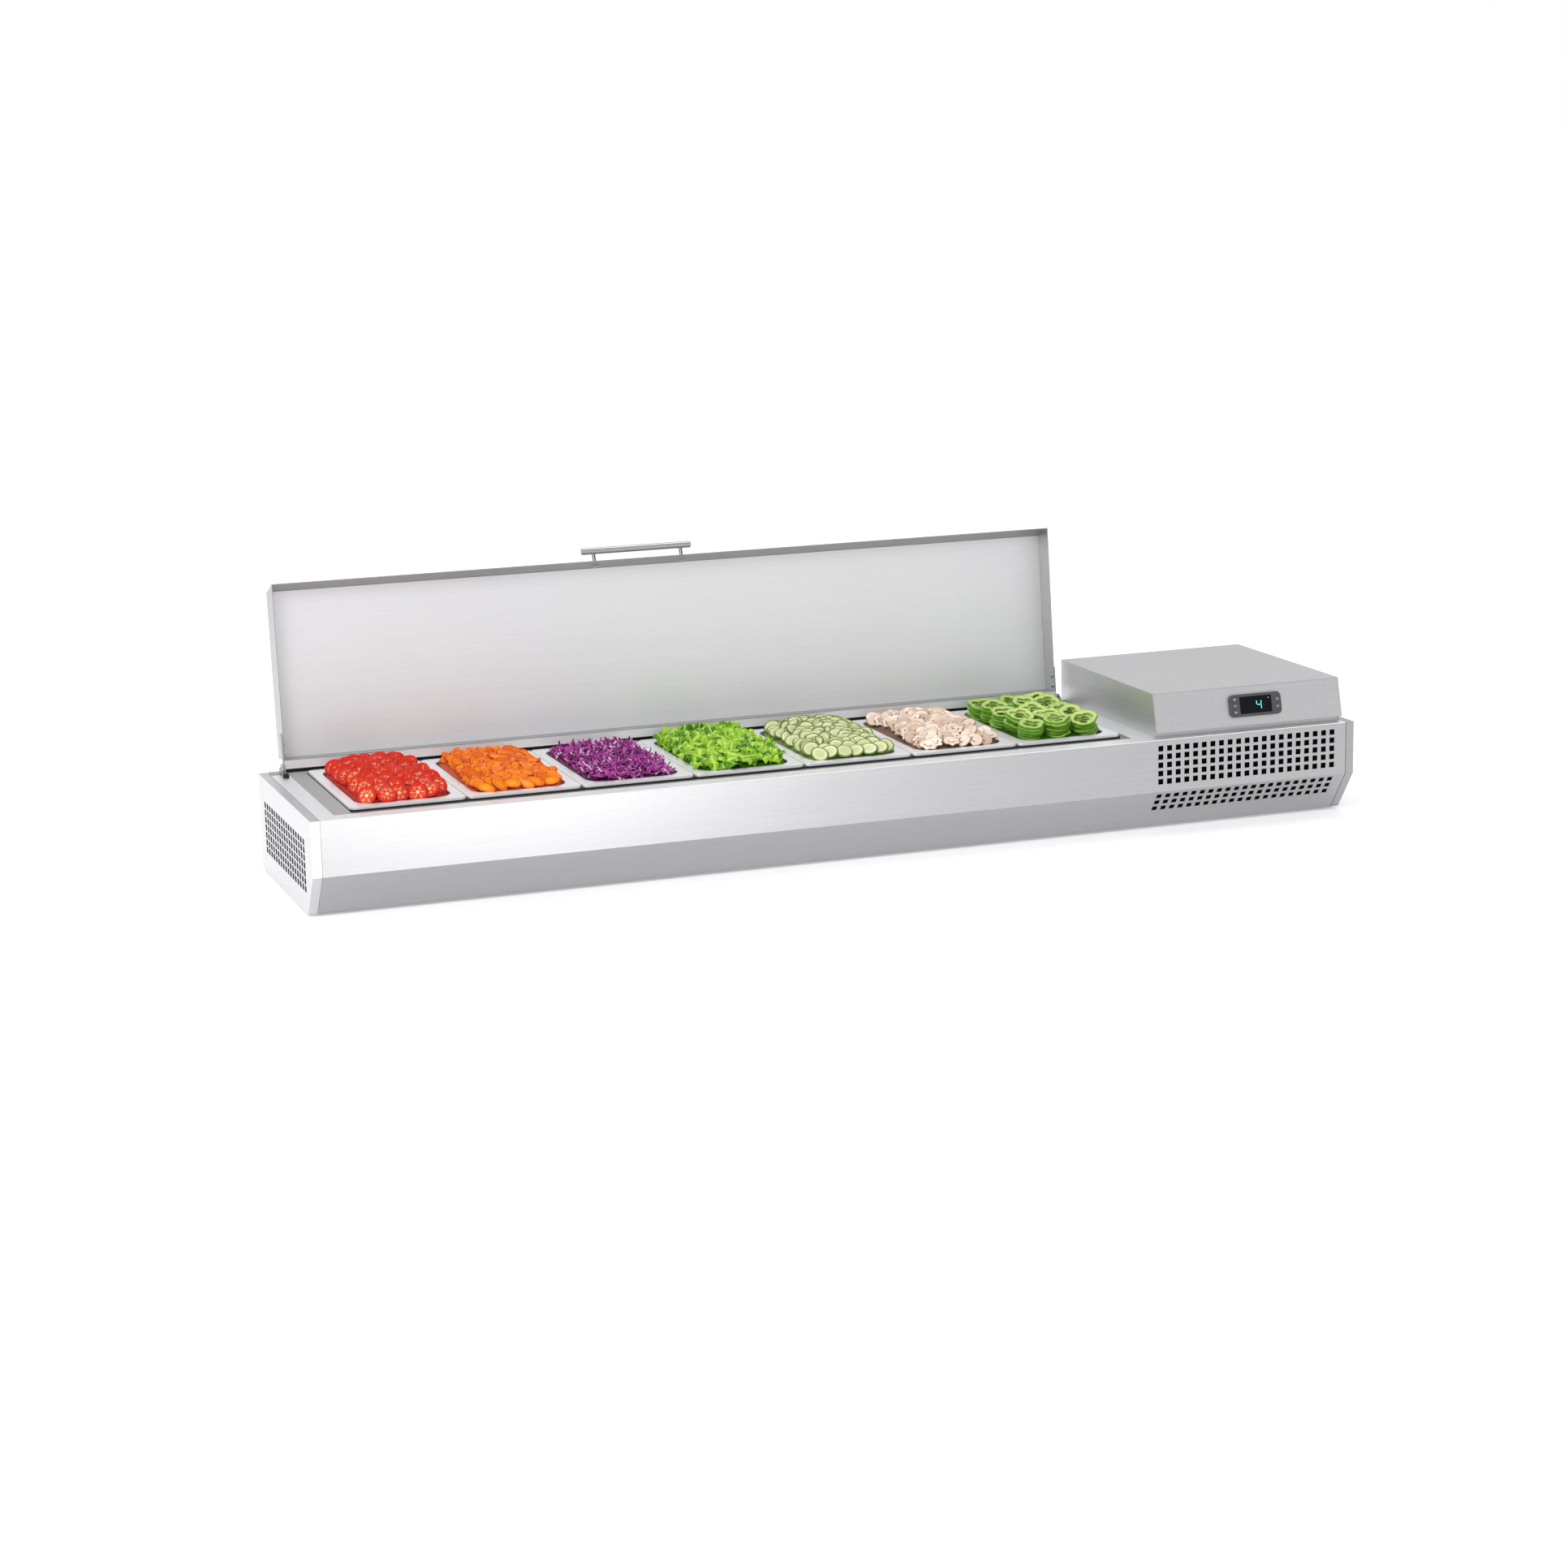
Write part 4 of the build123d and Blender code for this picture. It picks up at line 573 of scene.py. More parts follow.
def food(name, color_socket_maker, roughness, coat, subsurface, bump_scale):
    """Moist food: colour from a maker function, with fine relief and some light carried inside."""
    g = Graph(name)
    place = g.add("TexCoord").outputs["Object"]
    uv = g.add("UVMap", uv_map="local").outputs[0]
    tone = g.add("Attribute", attribute_name="tone").outputs["Fac"]
    fine = g.noise(place, bump_scale, 3.0)
    g.set(
        Base_Color=color_socket_maker(g, place, uv, tone),
        Roughness=g.spread(fine, 0.3, 0.7, roughness - 0.06, roughness + 0.1),
        Coat_Weight=coat,
        Subsurface_Weight=subsurface,
        Normal=g.bump(fine, 0.3, 0.4 * MM),
    )
    g.shader.inputs["Subsurface Radius"].default_value = FOOD_SUBSURFACE_RADIUS
    g.shader.inputs["Coat Roughness"].default_value = FOOD_COAT_ROUGHNESS
    g.shader.inputs["Specular IOR Level"].default_value = FOOD_SPECULAR
    return g.material


def polar(g, uv):
    """Distance from a slice's middle (1 at its edge) and the angle round it, in radians."""
    centred = g.add("VectorMath", {0: uv, 1: (0.5, 0.5, 0.0)}, operation="SUBTRACT").outputs[0]
    radius = g.math(
        "MULTIPLY", g.add("VectorMath", {0: centred}, operation="LENGTH").outputs["Value"], 2.0,
    )
    parts = g.add("SeparateXYZ", {0: centred})
    turn = g.math("ARCTAN2", parts.outputs[1], parts.outputs[0])
    return radius, turn


def tomato_color(g, place, uv, tone):
    radius, turn = polar(g, uv)
    spoke = g.math("ABSOLUTE", g.math("SINE", g.math("MULTIPLY", turn, 3.0)))
    ray = g.spread(spoke, 0.10, 0.34, 1.0, 0.0)
    ray = g.math("MULTIPLY", ray, g.spread(radius, 0.60, 0.72, 1.0, 0.0))
    seeds = g.spread(g.noise(place, 420.0, 1.0), 0.54, 0.62, 0.0, 0.8)
    chamber = g.spread(g.math("ABSOLUTE", g.math("SUBTRACT", radius, 0.5)), 0.10, 0.20, 1.0, 0.0)
    shade = g.mix(chamber, rgb(0.66, 0.018, 0.004), rgb(0.60, 0.040, 0.006))
    shade = g.mix(g.math("MULTIPLY", seeds, chamber), shade, rgb(0.92, 0.50, 0.26))
    shade = g.mix(ray, shade, rgb(0.93, 0.48, 0.22))
    shade = g.mix(g.spread(radius, 0.13, 0.20, 1.0, 0.0), shade, rgb(0.95, 0.70, 0.40))
    shade = g.mix(g.spread(radius, 0.90, 0.95, 0.0, 1.0), shade, rgb(0.36, 0.003, 0.001))
    return g.mix(g.math("MULTIPLY", tone, 0.4), shade, rgb(0.52, 0.008, 0.002))


def carrot_color(g, place, uv, tone):
    radius, _ = polar(g, uv)
    flesh = g.ramp(radius, [
        (0.0, rgb(0.92, 0.34, 0.010)), (0.46, rgb(0.88, 0.29, 0.006)),
        (0.56, rgb(0.86, 0.18, 0.001)), (0.84, rgb(0.86, 0.20, 0.002)),
        (0.93, rgb(0.55, 0.055, 0.0005)), (1.0, rgb(0.40, 0.032, 0.0003)),
    ])
    mottled = g.noise(place, 180.0, 3.0)
    flesh = g.mix(g.spread(mottled, 0.45, 0.7, 0.0, 0.4), flesh, rgb(0.95, 0.36, 0.03))
    return g.mix(g.spread(tone, 0.3, 1.0, 0.0, 0.75), flesh, rgb(0.58, 0.060, 0.0005))


def cabbage_color(g, place, uv, tone):
    streak = g.spread(g.noise(place, 240.0, 3.0), 0.35, 0.65, 0.0, 1.0)
    deep = g.mix(streak, rgb(0.090, 0.003, 0.060), rgb(0.26, 0.015, 0.19))
    bright = g.mix(streak, rgb(0.30, 0.025, 0.24), rgb(0.52, 0.085, 0.42))
    pale = g.mix(streak, rgb(0.62, 0.22, 0.52), rgb(0.88, 0.68, 0.82))
    purple = g.mix(g.spread(tone, 0.25, 0.55, 0.0, 1.0), deep, bright)
    return g.mix(g.spread(tone, 0.84, 0.92, 0.0, 1.0), purple, pale)


def lettuce_color(g, place, uv, tone):
    parts = g.add("SeparateXYZ", {0: uv})
    off_middle = g.math("ABSOLUTE", g.math("SUBTRACT", parts.outputs[0], 0.5))
    rib = g.spread(off_middle, 0.02, 0.12, 1.0, 0.0)
    mottled = g.spread(g.noise(place, 140.0, 4.0, 0.65), 0.35, 0.65, 0.0, 1.0)
    dark = g.mix(mottled, rgb(0.030, 0.14, 0.0015), rgb(0.12, 0.34, 0.006))
    light = g.mix(mottled, rgb(0.20, 0.46, 0.012), rgb(0.44, 0.68, 0.05))
    leafy = g.mix(g.spread(tone, 0.2, 0.6, 0.0, 1.0), dark, light)
    return g.mix(g.math("MULTIPLY", rib, 0.6), leafy, rgb(0.66, 0.80, 0.28))


def cucumber_color(g, place, uv, tone):
    radius, turn = polar(g, uv)
    flesh = g.ramp(radius, [
        (0.0, rgb(0.60, 0.62, 0.32)), (0.45, rgb(0.52, 0.57, 0.24)),
        (0.58, rgb(0.74, 0.76, 0.48)), (0.80, rgb(0.62, 0.66, 0.34)),
        (0.88, rgb(0.10, 0.17, 0.025)), (1.0, rgb(0.04, 0.085, 0.010)),
    ])
    seeds = g.math("MULTIPLY", g.math("COSINE", g.math("MULTIPLY", turn, 9.0)), 0.5)
    near = g.spread(g.math("ABSOLUTE", g.math("SUBTRACT", radius, 0.36)), 0.05, 0.13, 1.0, 0.0)
    seedy = g.math("MULTIPLY", g.spread(seeds, 0.15, 0.4, 0.0, 1.0), near)
    flesh = g.mix(g.math("MULTIPLY", seedy, 0.75), flesh, rgb(0.86, 0.86, 0.64))
    return g.mix(g.math("MULTIPLY", tone, 0.35), flesh, rgb(0.36, 0.42, 0.12))


def mushroom_color(g, place, uv, tone):
    radius, _ = polar(g, uv)
    lower = g.spread(g.add("SeparateXYZ", {0: uv}).outputs[1], 0.46, 0.56, 1.0, 0.0)
    band = g.spread(g.math("ABSOLUTE", g.math("SUBTRACT", radius, 0.36)), 0.06, 0.13, 1.0, 0.0)
    blot = g.noise(place, 95.0, 3.0)
    pale = g.spread(blot, 0.42, 0.62, 0.0, 1.0)
    flesh = g.mix(pale, rgb(0.84, 0.68, 0.56), rgb(0.93, 0.84, 0.75))
    flesh = g.mix(g.spread(tone, 0.25, 1.0, 0.0, 0.8), flesh, rgb(0.52, 0.34, 0.23))
    gills = g.math("MULTIPLY", g.math("MULTIPLY", lower, band), 0.9)
    flesh = g.mix(gills, flesh, rgb(0.15, 0.07, 0.035))
    return g.mix(g.spread(radius, 0.93, 0.98, 0.0, 0.85), flesh, rgb(0.20, 0.10, 0.05))


def pepper_color(g, place, uv, tone):
    across = g.add("SeparateXYZ", {0: uv}).outputs[0]
    mottled = g.noise(place, 150.0, 3.0)
    inner = g.mix(mottled, rgb(0.40, 0.56, 0.11), rgb(0.66, 0.78, 0.28))
    outer = g.mix(mottled, rgb(0.045, 0.19, 0.002), rgb(0.13, 0.38, 0.008))
    shade = g.mix(g.spread(across, 0.70, 0.92, 0.0, 1.0), inner, outer)
    return g.mix(g.math("MULTIPLY", tone, 0.35), shade, rgb(0.10, 0.30, 0.006))


# ---------------------------------------------------------------- the seven heaps
FACING = -1.9  # heading, in radians, that the loose pieces lean towards: the user's side
LEAN_VARIATION = 0.28
SLICE_SHAPES = 5
SHRED_SHAPES = 16
SHREDS = 1250
LEAF_SHAPES = 10
LEAVES = 350
HEAP_SINK = 3.0 * MM
RING_SINK = 9.0 * MM
RING_STEP = 4.4 * MM
RING_ROWS = (0.78, 0.41, 0.03, -0.35, -0.72)
RING_COLUMNS = ((-0.66, 0.0, 0.66), (-0.60, 0.06, 0.68))


def mushroom_outline(angle):
    """Reach of a halved mushroom's edge: a wide cap over a short stem."""
    down = abs(math.remainder(angle + math.pi / 2, 2 * math.pi))
    cap = min(1.0, max(0.0, (down - 0.55) / 0.65))
    return 0.62 + 0.36 * cap * cap * (3 - 2 * cap) + 0.30 * math.exp(-((down / 0.30) ** 2))


def slice_shapes(rng, radius, ripple, oval, thickness):
    """Slightly different slices: round, oval or, where oval is 0, mushroom-shaped."""
    shapes = []
    for _ in range(SLICE_SHAPES):
        wobble = rng.uniform(0.0, 6.3)
        stretch = rng.uniform(0.92, 1.08) * (oval or 1.0)

        def outline(angle, wobble=wobble, stretch=stretch):
            base = 1.0 / math.hypot(math.cos(angle) / stretch, math.sin(angle))
            if oval == 0:
                base *= mushroom_outline(angle)
            return radius * base * (1 + ripple * math.sin(3 * angle + wobble))

        shapes.append(plate(outline, thickness * rng.uniform(0.85, 1.2)))
    return shapes


def round_slices(
    space, rng, name, material, bed_shade_colors,
    radius, ripple, oval, thickness, across, down, lean, spin, loose,
):
    """Shingled rows of slices that lean towards the user, with some loose ones on top."""
    shapes = slice_shapes(rng, radius, ripple, oval, thickness)
    pile = Pile()
    upper_reach = radius * max(1.0, oval) * math.cos(lean - LEAN_VARIATION) - 1.0 * MM
    margin = (radius * max(0.85, 0.8 * oval) / space.half_x, upper_reach / space.half_y)
    for u, v in space.scatter(rng, across, down, margin):
        place = space.spot(u, v, rng.uniform(-1.0, 2.0) * MM + 0.35 * radius * math.sin(lean))
        heading = FACING + rng.uniform(-0.45, 0.45)
        tip = lean + rng.uniform(-LEAN_VARIATION, 0.18)
        if oval == 1.0:
            turned = rng.uniform(0, 6.3)
        else:
            turned = spin + rng.uniform(-1.0, 1.0) * (1.6 - 0.5 * oval)
        turn = tilted(place, heading, tip, turned)
        pile.add(rng.choice(shapes), turn, rng.random())
    for _ in range(loose):
        u, v = rng.uniform(-0.8, 0.8) * (1 - margin[0]), rng.uniform(-0.8, 0.8) * (1 - margin[1])
        place = space.spot(u, v, 0.45 * radius * math.sin(lean) + rng.uniform(1.5, 4.0) * MM)
        pile.add(
            rng.choice(shapes),
            tilted(
                place, FACING + rng.uniform(-1.2, 1.2), rng.uniform(0.25, 0.8),
                rng.uniform(0, 6.3) if oval == 1.0 else spin + rng.uniform(-1.0, 1.0),
            ),
            rng.random(),
        )
    pile.build(name, material, space.body)
    filling(space, name, bed_shade_colors, HEAP_SINK)


def filling(space, name, shade_colors, sink):
    """The mound under a heap's loose pieces, in two dark colours: painted shade between the
    pieces.
    """
    under = food(
        name + "_under",
        lambda g, place, uv, tone: g.mix(g.noise(place, 100.0), shade_colors[0], shade_colors[1]),
        0.5, 0.1, 0.0, 500.0,
    )
    space.bed(name + "_base", under, "food", sink)


def shredded(space, rng, name, material, bed_shade_colors):
    """Thin curled strips strewn over the heap."""
    pile = Pile()
    shapes = [
        ribbon(
            rng.uniform(14, 26) * MM, rng.uniform(2.6, 5.6) * MM, rng.uniform(0.7, 1.2) * MM,
            rng.uniform(1.2, 3.4) * rng.choice((-1, 1)), rng.uniform(-1.2, 1.2), 9,
        )
        for _ in range(SHRED_SHAPES)
    ]
    for _ in range(SHREDS):
        u, v = rng.uniform(-0.90, 0.90), rng.uniform(-0.94, 0.94)
        if not space.inside(u / 0.92, v / 0.96):
            continue
        place = space.spot(u, v, rng.uniform(-4.0, 2.5) * MM)
        turn = tilted(
            place, FACING + rng.uniform(-1.6, 1.6), rng.uniform(-0.25, 0.55), rng.uniform(0, 6.3),
        )
        pile.add(rng.choice(shapes), turn, rng.random())
    pile.build(name, material, space.body)
    filling(space, name, bed_shade_colors, HEAP_SINK)


def leafy(space, rng, name, material, bed_shade_colors):
    """Crinkled pieces of leaf strewn over the heap."""
    pile = Pile()
    shapes = [
        leaf(
            rng.uniform(12, 20) * MM, rng.uniform(20, 34) * MM, rng.uniform(3.0, 5.5) * MM,
            rng.uniform(0, 6.3), 0.7 * MM,
        )
        for _ in range(LEAF_SHAPES)
    ]
    for _ in range(LEAVES):
        u, v = rng.uniform(-0.86, 0.86), rng.uniform(-0.91, 0.91)
        if not space.inside(u / 0.90, v / 0.95):
            continue
        place = space.spot(u, v, rng.uniform(-3.0, 4.0) * MM)
        turn = tilted(
            place, FACING + rng.uniform(-1.3, 1.3), rng.uniform(0.0, 1.1), rng.uniform(0, 6.3),
        )
        pile.add(rng.choice(shapes), turn, rng.random())
    pile.build(name, material, space.body)
    filling(space, name, bed_shade_colors, HEAP_SINK)


def ring_stacks(space, rng, name, material, bed_shade_colors):
    """Stacks of pepper rings that lean towards the user."""
    pile = Pile()
    for row, v in enumerate(RING_ROWS):
        for u in RING_COLUMNS[row % 2]:
            u, v_spot = u + rng.uniform(-0.06, 0.06), v + rng.uniform(-0.04, 0.04)
            radius = rng.uniform(20.0, 23.5) * MM
            heading = FACING + rng.uniform(-0.5, 0.5)
            rise = Matrix.Rotation(
                rng.uniform(0.18, 0.38), 3, Vector((-math.sin(heading), math.cos(heading), 0)),
            )
            axis = rise @ Vector((0, 0, 1))
            limit_u = 1 - radius / space.half_x
            back_limit = 1 - (1.05 * radius + 2 * MM) / space.half_y
            front_limit = 1 - (1.05 * radius + 11 * MM) / space.half_y
            u, v_spot = max(-limit_u, min(limit_u, u)), max(-front_limit, min(back_limit, v_spot))
            phase, lobes = rng.uniform(0, 6.3), rng.choice((3, 4, 4))
            for k in range(rng.randint(5, 6)):
                shape = ring(
                    radius * rng.uniform(0.90, 1.04), rng.uniform(4.2, 5.2) * MM,
                    rng.uniform(8.5, 11.0) * MM, lobes, phase + rng.uniform(-0.3, 0.3),
                    rng.uniform(0.3, 1.1) * MM,
                )
                place = space.spot(u, v_spot, -8.0 * MM) + axis * (k * RING_STEP)
                place += Vector((rng.uniform(-1, 1), rng.uniform(-1, 1), 0)) * 1.9 * MM
                turn = Matrix.Translation(place) @ rise.to_4x4()
                pile.add(shape, turn, rng.random())
    pile.build(name, material, space.body)
    filling(space, name, bed_shade_colors, RING_SINK)


def fill_pans():
    """Seven heaps, from the left: all draw from one seeded generator, in this order."""
    rng = random.Random(7)
    tomato = food("tomato_flesh", tomato_color, 0.34, 0.10, 0.03, 400.0)
    carrot = food("carrot_flesh", carrot_color, 0.34, 0.05, 0.03, 350.0)
    cabbage = food("cabbage_shred", cabbage_color, 0.40, 0.15, 0.0, 500.0)
    lettuce = food("lettuce_leaf", lettuce_color, 0.42, 0.05, 0.03, 320.0)
    cucumber = food("cucumber_flesh", cucumber_color, 0.32, 0.2, 0.05, 420.0)
    mushroom = food("mushroom_flesh", mushroom_color, 0.60, 0.0, 0.05, 420.0)
    pepper = food("pepper_flesh", pepper_color, 0.26, 0.15, 0.03, 350.0)
    # The pair of dark colours given to each heap colours its bed: painted shade between the
    # pieces.
    round_slices(
        PanSpace(1, 10 * MM), rng, "tomato_slices", tomato,
        (rgb(0.30, 0.005, 0.002), rgb(0.48, 0.015, 0.005)),
        radius=14.5 * MM, ripple=0.02, oval=1.0, thickness=3.6 * MM,
        across=5, down=14, lean=0.95, spin=0.0, loose=6,
    )
    round_slices(
        PanSpace(2, 10 * MM), rng, "carrot_slices", carrot,
        (rgb(0.42, 0.045, 0.001), rgb(0.62, 0.09, 0.004)),
        radius=6.8 * MM, ripple=0.03, oval=2.0, thickness=3.6 * MM,
        across=6, down=32, lean=1.05, spin=-0.55, loose=40,
    )
    shredded(
        PanSpace(3, 12 * MM), rng, "cabbage_shreds", cabbage,
        (rgb(0.035, 0.004, 0.02), rgb(0.11, 0.01, 0.06)),
    )
    leafy(
        PanSpace(4, 12 * MM), rng, "lettuce_pieces", lettuce,
        (rgb(0.015, 0.07, 0.001), rgb(0.05, 0.18, 0.004)),
    )
    round_slices(
        PanSpace(5, 11 * MM), rng, "cucumber_slices", cucumber,
        (rgb(0.08, 0.14, 0.02), rgb(0.20, 0.30, 0.06)),
        radius=12.5 * MM, ripple=0.01, oval=1.0, thickness=2.6 * MM,
        across=6, down=18, lean=0.70, spin=0.0, loose=40,
    )
    round_slices(
        PanSpace(6, 9 * MM), rng, "mushroom_slices", mushroom,
        (rgb(0.10, 0.05, 0.02), rgb(0.24, 0.14, 0.08)),
        radius=13.0 * MM, ripple=0.03, oval=0.0, thickness=3.6 * MM,
        across=6, down=18, lean=0.62, spin=-0.3, loose=46,
    )
    ring_stacks(
        PanSpace(7, 12 * MM), rng, "pepper_rings", pepper,
        (rgb(0.012, 0.05, 0.001), rgb(0.05, 0.15, 0.004)),
    )


# ---------------------------------------------------------------- dark sheet behind the front grille: painted shade
BEVEL_RISE = 59 * MM
BEVEL_RUN = 43 * MM
SHEET_GAP = 2.2 * MM
SHEET_THICKNESS = 1.5 * MM
SHEET_SIDE = 6 * MM
SHEET_BOTTOM = 4 * MM
SHEET_TOP = 8 * MM
SHEET_COLUMNS = 40


def grille_shade_sheet():
    """Near-black sheet that follows the front panel's inside behind its grille: painted shade of
    the cabinet's inside.
    """
    low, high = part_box("front_panel")
    hood_low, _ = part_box("hood_cover")
    slope = math.hypot(BEVEL_RISE, BEVEL_RUN)

    def line(inset):
        """Three points of the sheet's section, inset from the panel's outer face."""
        upper = inset * (slope - BEVEL_RISE) / BEVEL_RUN
        fall = BEVEL_RISE + upper - inset - SHEET_BOTTOM
        return (
            (low[1] + inset, high[2] - SHEET_TOP),
            (low[1] + inset, low[2] + BEVEL_RISE + upper),
            (low[1] + inset + fall * BEVEL_RUN / BEVEL_RISE, low[2] + inset + SHEET_BOTTOM),
        )

    left, right = hood_low[0] - SHEET_SIDE, high[0] - SHEET_SIDE
    columns = SHEET_COLUMNS
    points = []
    for inset in (SHEET_GAP, SHEET_GAP + SHEET_THICKNESS):
        for y, z in line(inset):
            points += [(left + (right - left) * i / columns, y, z) for i in range(columns + 1)]
    back = 3 * (columns + 1)
    faces = grid_faces(columns, 2, flip=True) + grid_faces(columns, 2, back)
    faces += [face[::-1] for face in side_walls(grid_rim(columns, 2), back)]
    pile = Pile()
    pile.add((points, faces, [(0.5, 0.5)] * len(points)), Matrix.Identity(4), 0.5)
    # Painted shade: near-black and almost unreflecting.
    sheet_black = moulded(
        "grille_painted_shade", grey(0.002), 0.95, grain=700.0, relief=0.6, specular=0.02,
    )
    pile.build("grille_shade_sheet", sheet_black, "cabinet", smooth=False)


# ---------------------------------------------------------------- dark bead behind the hinge line: painted shade
BEAD_INSET = 2.5 * MM
BEAD_WIDTH = 8.0 * MM
BEAD_HEIGHT = 5.0 * MM
BEAD_STEPS = 30
BEAD_ARC = 8


def rear_shade_bead():
    """Black bead along the deck's rear edge, under the open lid: painted shade under the hinge
    leaf.
    """
    _, deck_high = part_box("deck_top")
    leaf_low, leaf_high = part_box("hinge_leaf")
    middle = deck_high[1] - BEAD_INSET - BEAD_WIDTH / 2
    arc = [math.pi * k / BEAD_ARC for k in range(BEAD_ARC + 1)]
    profile = [
        (middle + BEAD_WIDTH / 2 * math.cos(a), BEAD_HEIGHT * math.sin(a) ** 0.7) for a in arc
    ]
    steps = BEAD_STEPS
    points, faces = [], []
    for i in range(steps + 1):
        x = leaf_low[0] + (leaf_high[0] - leaf_low[0]) * i / steps
        points += [(x, y, deck_high[2] + z) for y, z in profile]
    count = len(profile)
    for i in range(steps):
        a = i * count
        faces += [
            (a + k, a + (k + 1) % count, a + count + (k + 1) % count, a + count + k)
            for k in range(count)
        ]
    faces += [tuple(range(count - 1, -1, -1)), tuple(range(steps * count, steps * count + count))]
    pile = Pile()
    pile.add((points, faces, [(0.5, 0.5)] * len(points)), Matrix.Identity(4), 0.5)
    # Painted shade: a near-black strip where the hinge leaf casts its shadow.
    rear_painted_shade = moulded("rear_painted_shade", grey(0.012), 0.7)
    pile.build("rear_shade_bead", rear_painted_shade, "cabinet", smooth=False)


# ---------------------------------------------------------------- display and key symbols
PANEL_OUTWARD = (0, -56, 14)  # out of the hood's slanted front
PRINT_DEPTH = 0.1 * MM
DISPLAY_RELIEF = 0.12 * MM
KEY_RELIEF = 0.06 * MM
DIGIT_SEGMENTS = "fgbc"  # a 4
DOT_RADIUS = 0.7 * MM
DOT_X = 21.5 * MM
DOT_Y = 8.5 * MM


def flat_prism(outline, matrix, low, high):
    """Closed prism on an outline in the panel's plane."""
    count = len(outline)
    points = [matrix @ Vector((x, y, low)) for x, y in outline]
    points += [matrix @ Vector((x, y, high)) for x, y in outline]
    faces = [tuple(range(count - 1, -1, -1)), tuple(range(count, 2 * count))]
    faces += [(i, (i + 1) % count, count + (i + 1) % count, count + i) for i in range(count)]
    return points, faces, [(0.5, 0.5)] * len(points)


def panel_matrix():
    """Frame of the slanted display: right along X, up the slope, out of the face."""
    low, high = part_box("controller_screen")
    outward = Vector(PANEL_OUTWARD).normalized()
    right = Vector((1, 0, 0))
    up = outward.cross(right)
    matrix = Matrix((right, up, outward)).transposed().to_4x4()
    matrix.translation = (Vector(low) + Vector(high)) / 2
    return matrix


def surface_height(node, matrix):
    """How far a node's face stands out of the panel frame's plane."""
    inverse = matrix.inverted()
    return max((inverse @ vertex.co).z for vertex in nodes_by_name[node].data.vertices)


def seven_segment(cx, cy, height, segments, width):
    """Lit bars of one digit, as outlines."""
    half, rise = height * 0.28, height / 2
    bar = width / 2
    level = {"a": rise, "g": 0.0, "d": -rise}
    upright = {
        "f": (-half, rise / 2), "b": (half, rise / 2),
        "e": (-half, -rise / 2), "c": (half, -rise / 2),
    }
    shapes = []
    for key in segments:
        if key in level:
            y, reach = level[key], half - bar * 0.9
            shape = [
                (-reach, y), (-reach + bar, y - bar), (reach - bar, y - bar),
                (reach, y), (reach - bar, y + bar), (-reach + bar, y + bar),
            ]
        else:
            x, y = upright[key]
            reach = rise / 2 - bar * 0.5
            shape = [
                (x, y - reach), (x + bar, y - reach + bar), (x + bar, y + reach - bar),
                (x, y + reach), (x - bar, y + reach - bar), (x - bar, y - reach + bar),
            ]
        shapes.append([(cx + px, cy + py) for px, py in shape])
    return shapes


def display():
    """One lit digit and a dot on the dark window."""
    matrix = panel_matrix()
    face = surface_height("controller_screen", matrix)
    lit = glowing("display_cyan", rgb(0.10, 0.80, 0.78), 1.3)
    pile = Pile()
    outlines = seven_segment(
        cx=5.5 * MM, cy=-0.5 * MM, height=13.0 * MM, segments=DIGIT_SEGMENTS, width=1.3 * MM,
    )
    dot = [(math.cos(k * math.pi / 6), math.sin(k * math.pi / 6)) for k in range(12)]
    outlines.append([(DOT_X + DOT_RADIUS * x, DOT_Y + DOT_RADIUS * y) for x, y in dot])
    for outline in outlines:
        bar = flat_prism(outline, matrix, face - PRINT_DEPTH, face + DISPLAY_RELIEF)
        pile.add(bar, Matrix.Identity(4), 1.0)
    pile.build("display_digit", lit, "cabinet", smooth=False)


def key_symbols():
    """Generic squares, bars and arrows on the keys."""
    mark = moulded("key_print", grey(0.55), 0.5, grain=1300.0, relief=0.05)
    matrix = panel_matrix()
    inverse = matrix.inverted()
    arrow_up = [(-1.4, -0.9), (1.4, -0.9), (0.0, 1.2)]
    arrow_down = [(-1.4, 0.9), (0.0, -1.2), (1.4, 0.9)]
    bar = [(-1.4, -0.35), (1.4, -0.35), (1.4, 0.35), (-1.4, 0.35)]
    square = [(-1.0, -1.0), (1.0, -1.0), (1.0, 1.0), (-1.0, 1.0)]
    marks = {1: square, 2: bar, 3: square, 4: arrow_up, 5: arrow_down}
    for number, outline in marks.items():
        vertices = [inverse @ v.co for v in nodes_by_name[f"button_{number}"].data.vertices]
        face = max(v.z for v in vertices)
        cx = (max(v.x for v in vertices) + min(v.x for v in vertices)) / 2
        cy = (max(v.y for v in vertices) + min(v.y for v in vertices)) / 2
        shape = [(cx + x * MM, cy + y * MM) for x, y in outline]
        pile = Pile()
        raised = flat_prism(shape, matrix, face - PRINT_DEPTH, face + KEY_RELIEF)
        pile.add(raised, Matrix.Identity(4), 1.0)
        pile.build(f"key_mark_{number}", mark, f"key_{number}_body", smooth=False)


# ---------------------------------------------------------------- floor, lights and world
FLOOR_SIZE = 60.0
FLOOR_STEPS = 24
FLOOR_GLOW = 0.25  # keeps the far floor as white as the sky behind it


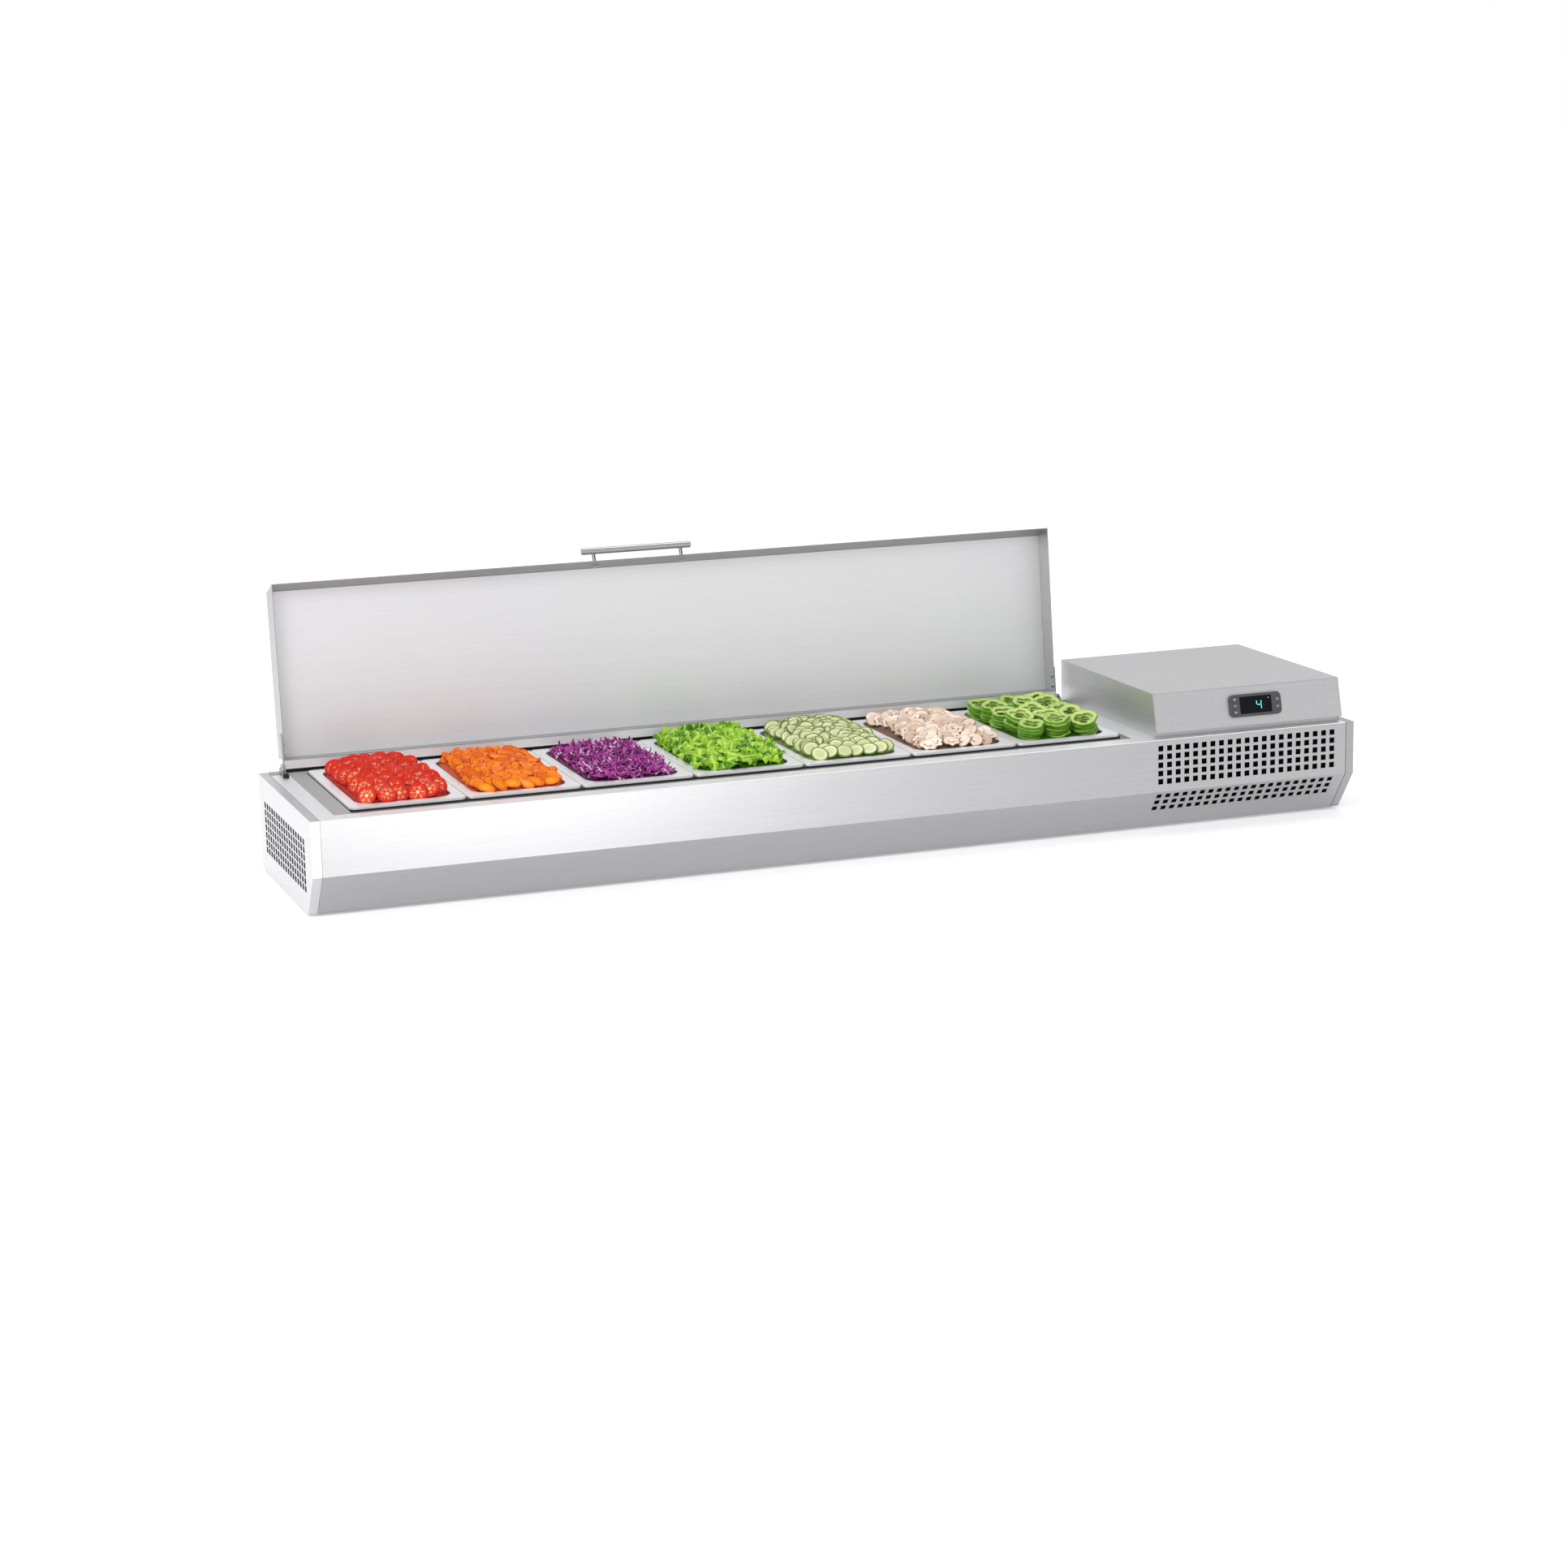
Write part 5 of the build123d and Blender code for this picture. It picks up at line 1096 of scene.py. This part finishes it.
def floor():
    """Wide pale floor, a stage piece."""
    mesh = bpy.data.meshes.new("floor")
    marks = [(i / FLOOR_STEPS - 0.5) * FLOOR_SIZE for i in range(FLOOR_STEPS + 1)]
    points = [(x, y, 0.0) for y in marks for x in marks]
    mesh.from_pydata(points, [], grid_faces(FLOOR_STEPS, FLOOR_STEPS))
    piece = bpy.data.objects.new("floor", mesh)
    bpy.context.scene.collection.objects.link(piece)
    g = Graph("floor_pale")
    place = g.add("TexCoord").outputs["Object"]
    soft = g.noise(place, 3.0, 3.0)
    g.set(
        Base_Color=g.mix(soft, grey(0.92), grey(0.95)),
        Emission_Color=grey(1.0),
        Emission_Strength=FLOOR_GLOW,
        Roughness=0.85,
        Normal=g.bump(g.noise(place, 600.0), 0.02, 0.1 * MM),
    )
    mesh.materials.append(g.material)


def area_light(name, location, target, size, power):
    """Rectangular light aimed at a target, unseen by the camera."""
    data = bpy.data.lights.new(name, "AREA")
    data.shape = "RECTANGLE"
    data.size, data.size_y = size
    data.energy = power
    light = bpy.data.objects.new(name, data)
    aim = Vector(target) - Vector(location)
    turn = aim.to_track_quat("-Z", "Y").to_matrix().to_4x4()
    light.matrix_world = Matrix.Translation(location) @ turn
    light.visible_camera = False
    bpy.context.scene.collection.objects.link(light)
    return light


# Brightness of the world from the horizon (0) to straight up (1).
WORLD_LEVELS = ((0.0, 0.75), (0.05, 0.80), (0.30, 1.10), (0.60, 0.85), (1.0, 0.60))


def lighting():
    """Soft key and overhead lights, a low light for the front panel, and a pale world."""
    area_light(
        "key_left", location=(-2.8, -2.6, 2.8), target=(-0.2, 0, 0.15), size=(1.6, 1.2), power=60,
    )
    panel = area_light(
        "panel_left", location=(-0.15, -1.9, 0.10), target=(-0.55, -0.1, 0.06), size=(0.9, 0.4),
        power=14,
    )
    lit = bpy.data.collections.new("panel_light_receivers")
    for name in ("front_panel", "left_end_panel"):
        lit.objects.link(nodes_by_name[name])
    panel.light_linking.receiver_collection = lit
    area_light(
        "overhead", location=(0.0, 0.5, 3.0), target=(0, 0, 0.1), size=(2.6, 1.4), power=26,
    )
    world = bpy.data.worlds.new("studio")
    world.use_nodes = True
    tree = world.node_tree
    back = tree.nodes["Background"]
    coords = tree.nodes.new("ShaderNodeTexCoord")
    split = tree.nodes.new("ShaderNodeSeparateXYZ")
    ramp = tree.nodes.new("ShaderNodeValToRGB")
    elements = ramp.color_ramp.elements
    elements[0].color = grey(WORLD_LEVELS[0][1])
    elements[1].position, elements[1].color = WORLD_LEVELS[-1][0], grey(WORLD_LEVELS[-1][1])
    for position, level in WORLD_LEVELS[1:-1]:
        elements.new(position).color = grey(level)
    rays = tree.nodes.new("ShaderNodeLightPath")
    seen = tree.nodes.new("ShaderNodeMix")
    seen.data_type = "RGBA"
    seen.inputs[7].default_value = (1, 1, 1, 1)
    tree.links.new(coords.outputs["Generated"], split.inputs[0])
    tree.links.new(split.outputs[2], ramp.inputs[0])
    tree.links.new(rays.outputs["Is Camera Ray"], seen.inputs[0])
    tree.links.new(ramp.outputs[0], seen.inputs[6])
    tree.links.new(seen.outputs[2], back.inputs["Color"])
    bpy.context.scene.world = world
    bpy.context.scene.view_settings.view_transform = "Standard"


make_camera()
paint_nodes()
fill_pans()
grille_shade_sheet()
rear_shade_bead()
display()
key_symbols()
floor()
lighting()
